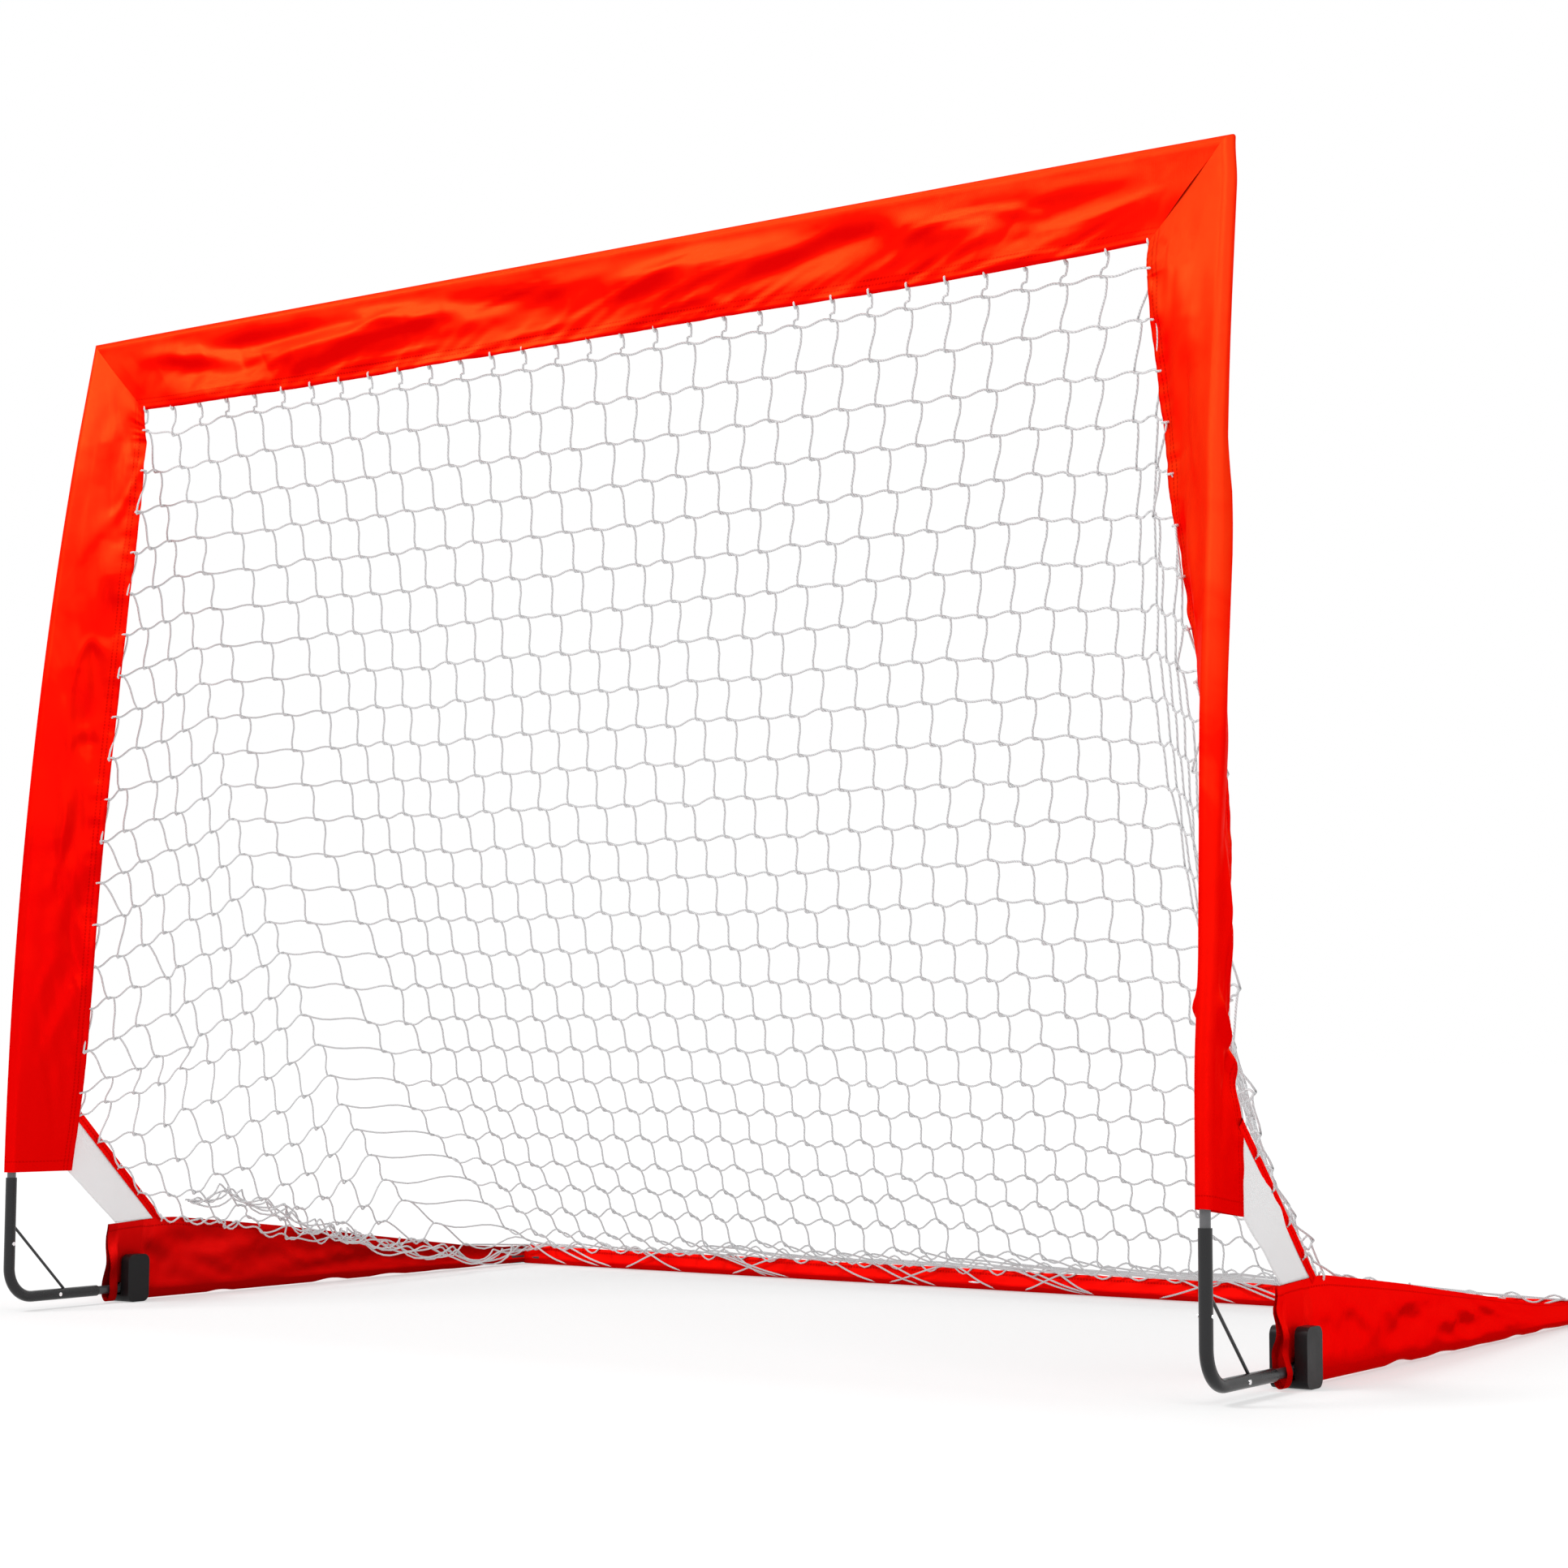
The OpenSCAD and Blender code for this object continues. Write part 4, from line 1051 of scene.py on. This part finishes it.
def seen_rays(tree):
    """1 for rays that show a thing to the eye, straight, in a gloss or through glass, and 0 for light."""
    rays = node(tree, "LightPath").outputs
    seen = maths(tree, "MAXIMUM", rays["Is Camera Ray"], rays["Is Glossy Ray"])
    return maths(tree, "MAXIMUM", seen, rays["Is Transmission Ray"])


paper, tree, shader = new_finish("white_floor", (0.96, 0.96, 0.96), 0.9, Specular_IOR_Level=0.0)
split = split_up(tree, coords(tree)["Object"])
away = [maths(tree, "SUBTRACT", maths(tree, "ABSOLUTE", split[axis]), clear)
        for axis, clear in (("X", CLEAR_X), ("Y", CLEAR_Y))]
fade = node(tree, "MapRange", {"Value": maths(tree, "MAXIMUM", *away), "From Max": FADE_OVER,
                               "To Min": GLOW_UNDER}).outputs[0]
glow = node(tree, "Emission", {"Color": (1, 1, 1, 1), "Strength": GLOW})
blend_in = node(tree, "MixShader", {0: maths(tree, "MULTIPLY", fade, seen_rays(tree)),
                                    1: shader.outputs[0], 2: glow.outputs[0]})
feed(tree, tree.nodes["Material Output"].inputs["Surface"], blend_in.outputs[0])
ends = (-FLOOR_HALF, FLOOR_HALF)
floor = cloth_grid("floor", [[(x, y, 0) for x in ends] for y in ends], 1, 1, paper)
floor.location.z = FLOOR_Z

world = bpy.data.worlds.new("studio")
bpy.context.scene.world = world
world.use_nodes = True
tree = world.node_tree
light = tree.nodes["Background"].inputs
feed(tree, light["Color"], (1, 1, 1, 1))
seen = maths(tree, "MULTIPLY", seen_rays(tree), WORLD_SEEN)
feed(tree, light["Strength"], maths(tree, "ADD", seen, WORLD_LIGHT))


def lamp(name, place, aim, size, watts):
    data = bpy.data.lights.new(name, "AREA")
    data.shape, data.size, data.energy = "DISK", size, watts
    obj = bpy.data.objects.new(name, data)
    link(obj)
    obj.location = place
    obj.rotation_mode = "QUATERNION"
    obj.rotation_quaternion = (Vector(aim) - Vector(place)).to_track_quat("-Z", "Y")


lamp("key", (-1.6, -2.6, 3.6), (0, 0, 0.3), 1.5, 88)
lamp("fill", (3.0, -2.2, 2.6), (0.2, 0, 0.4), 2.4, 35)
bpy.context.scene.view_settings.view_transform = "Standard"
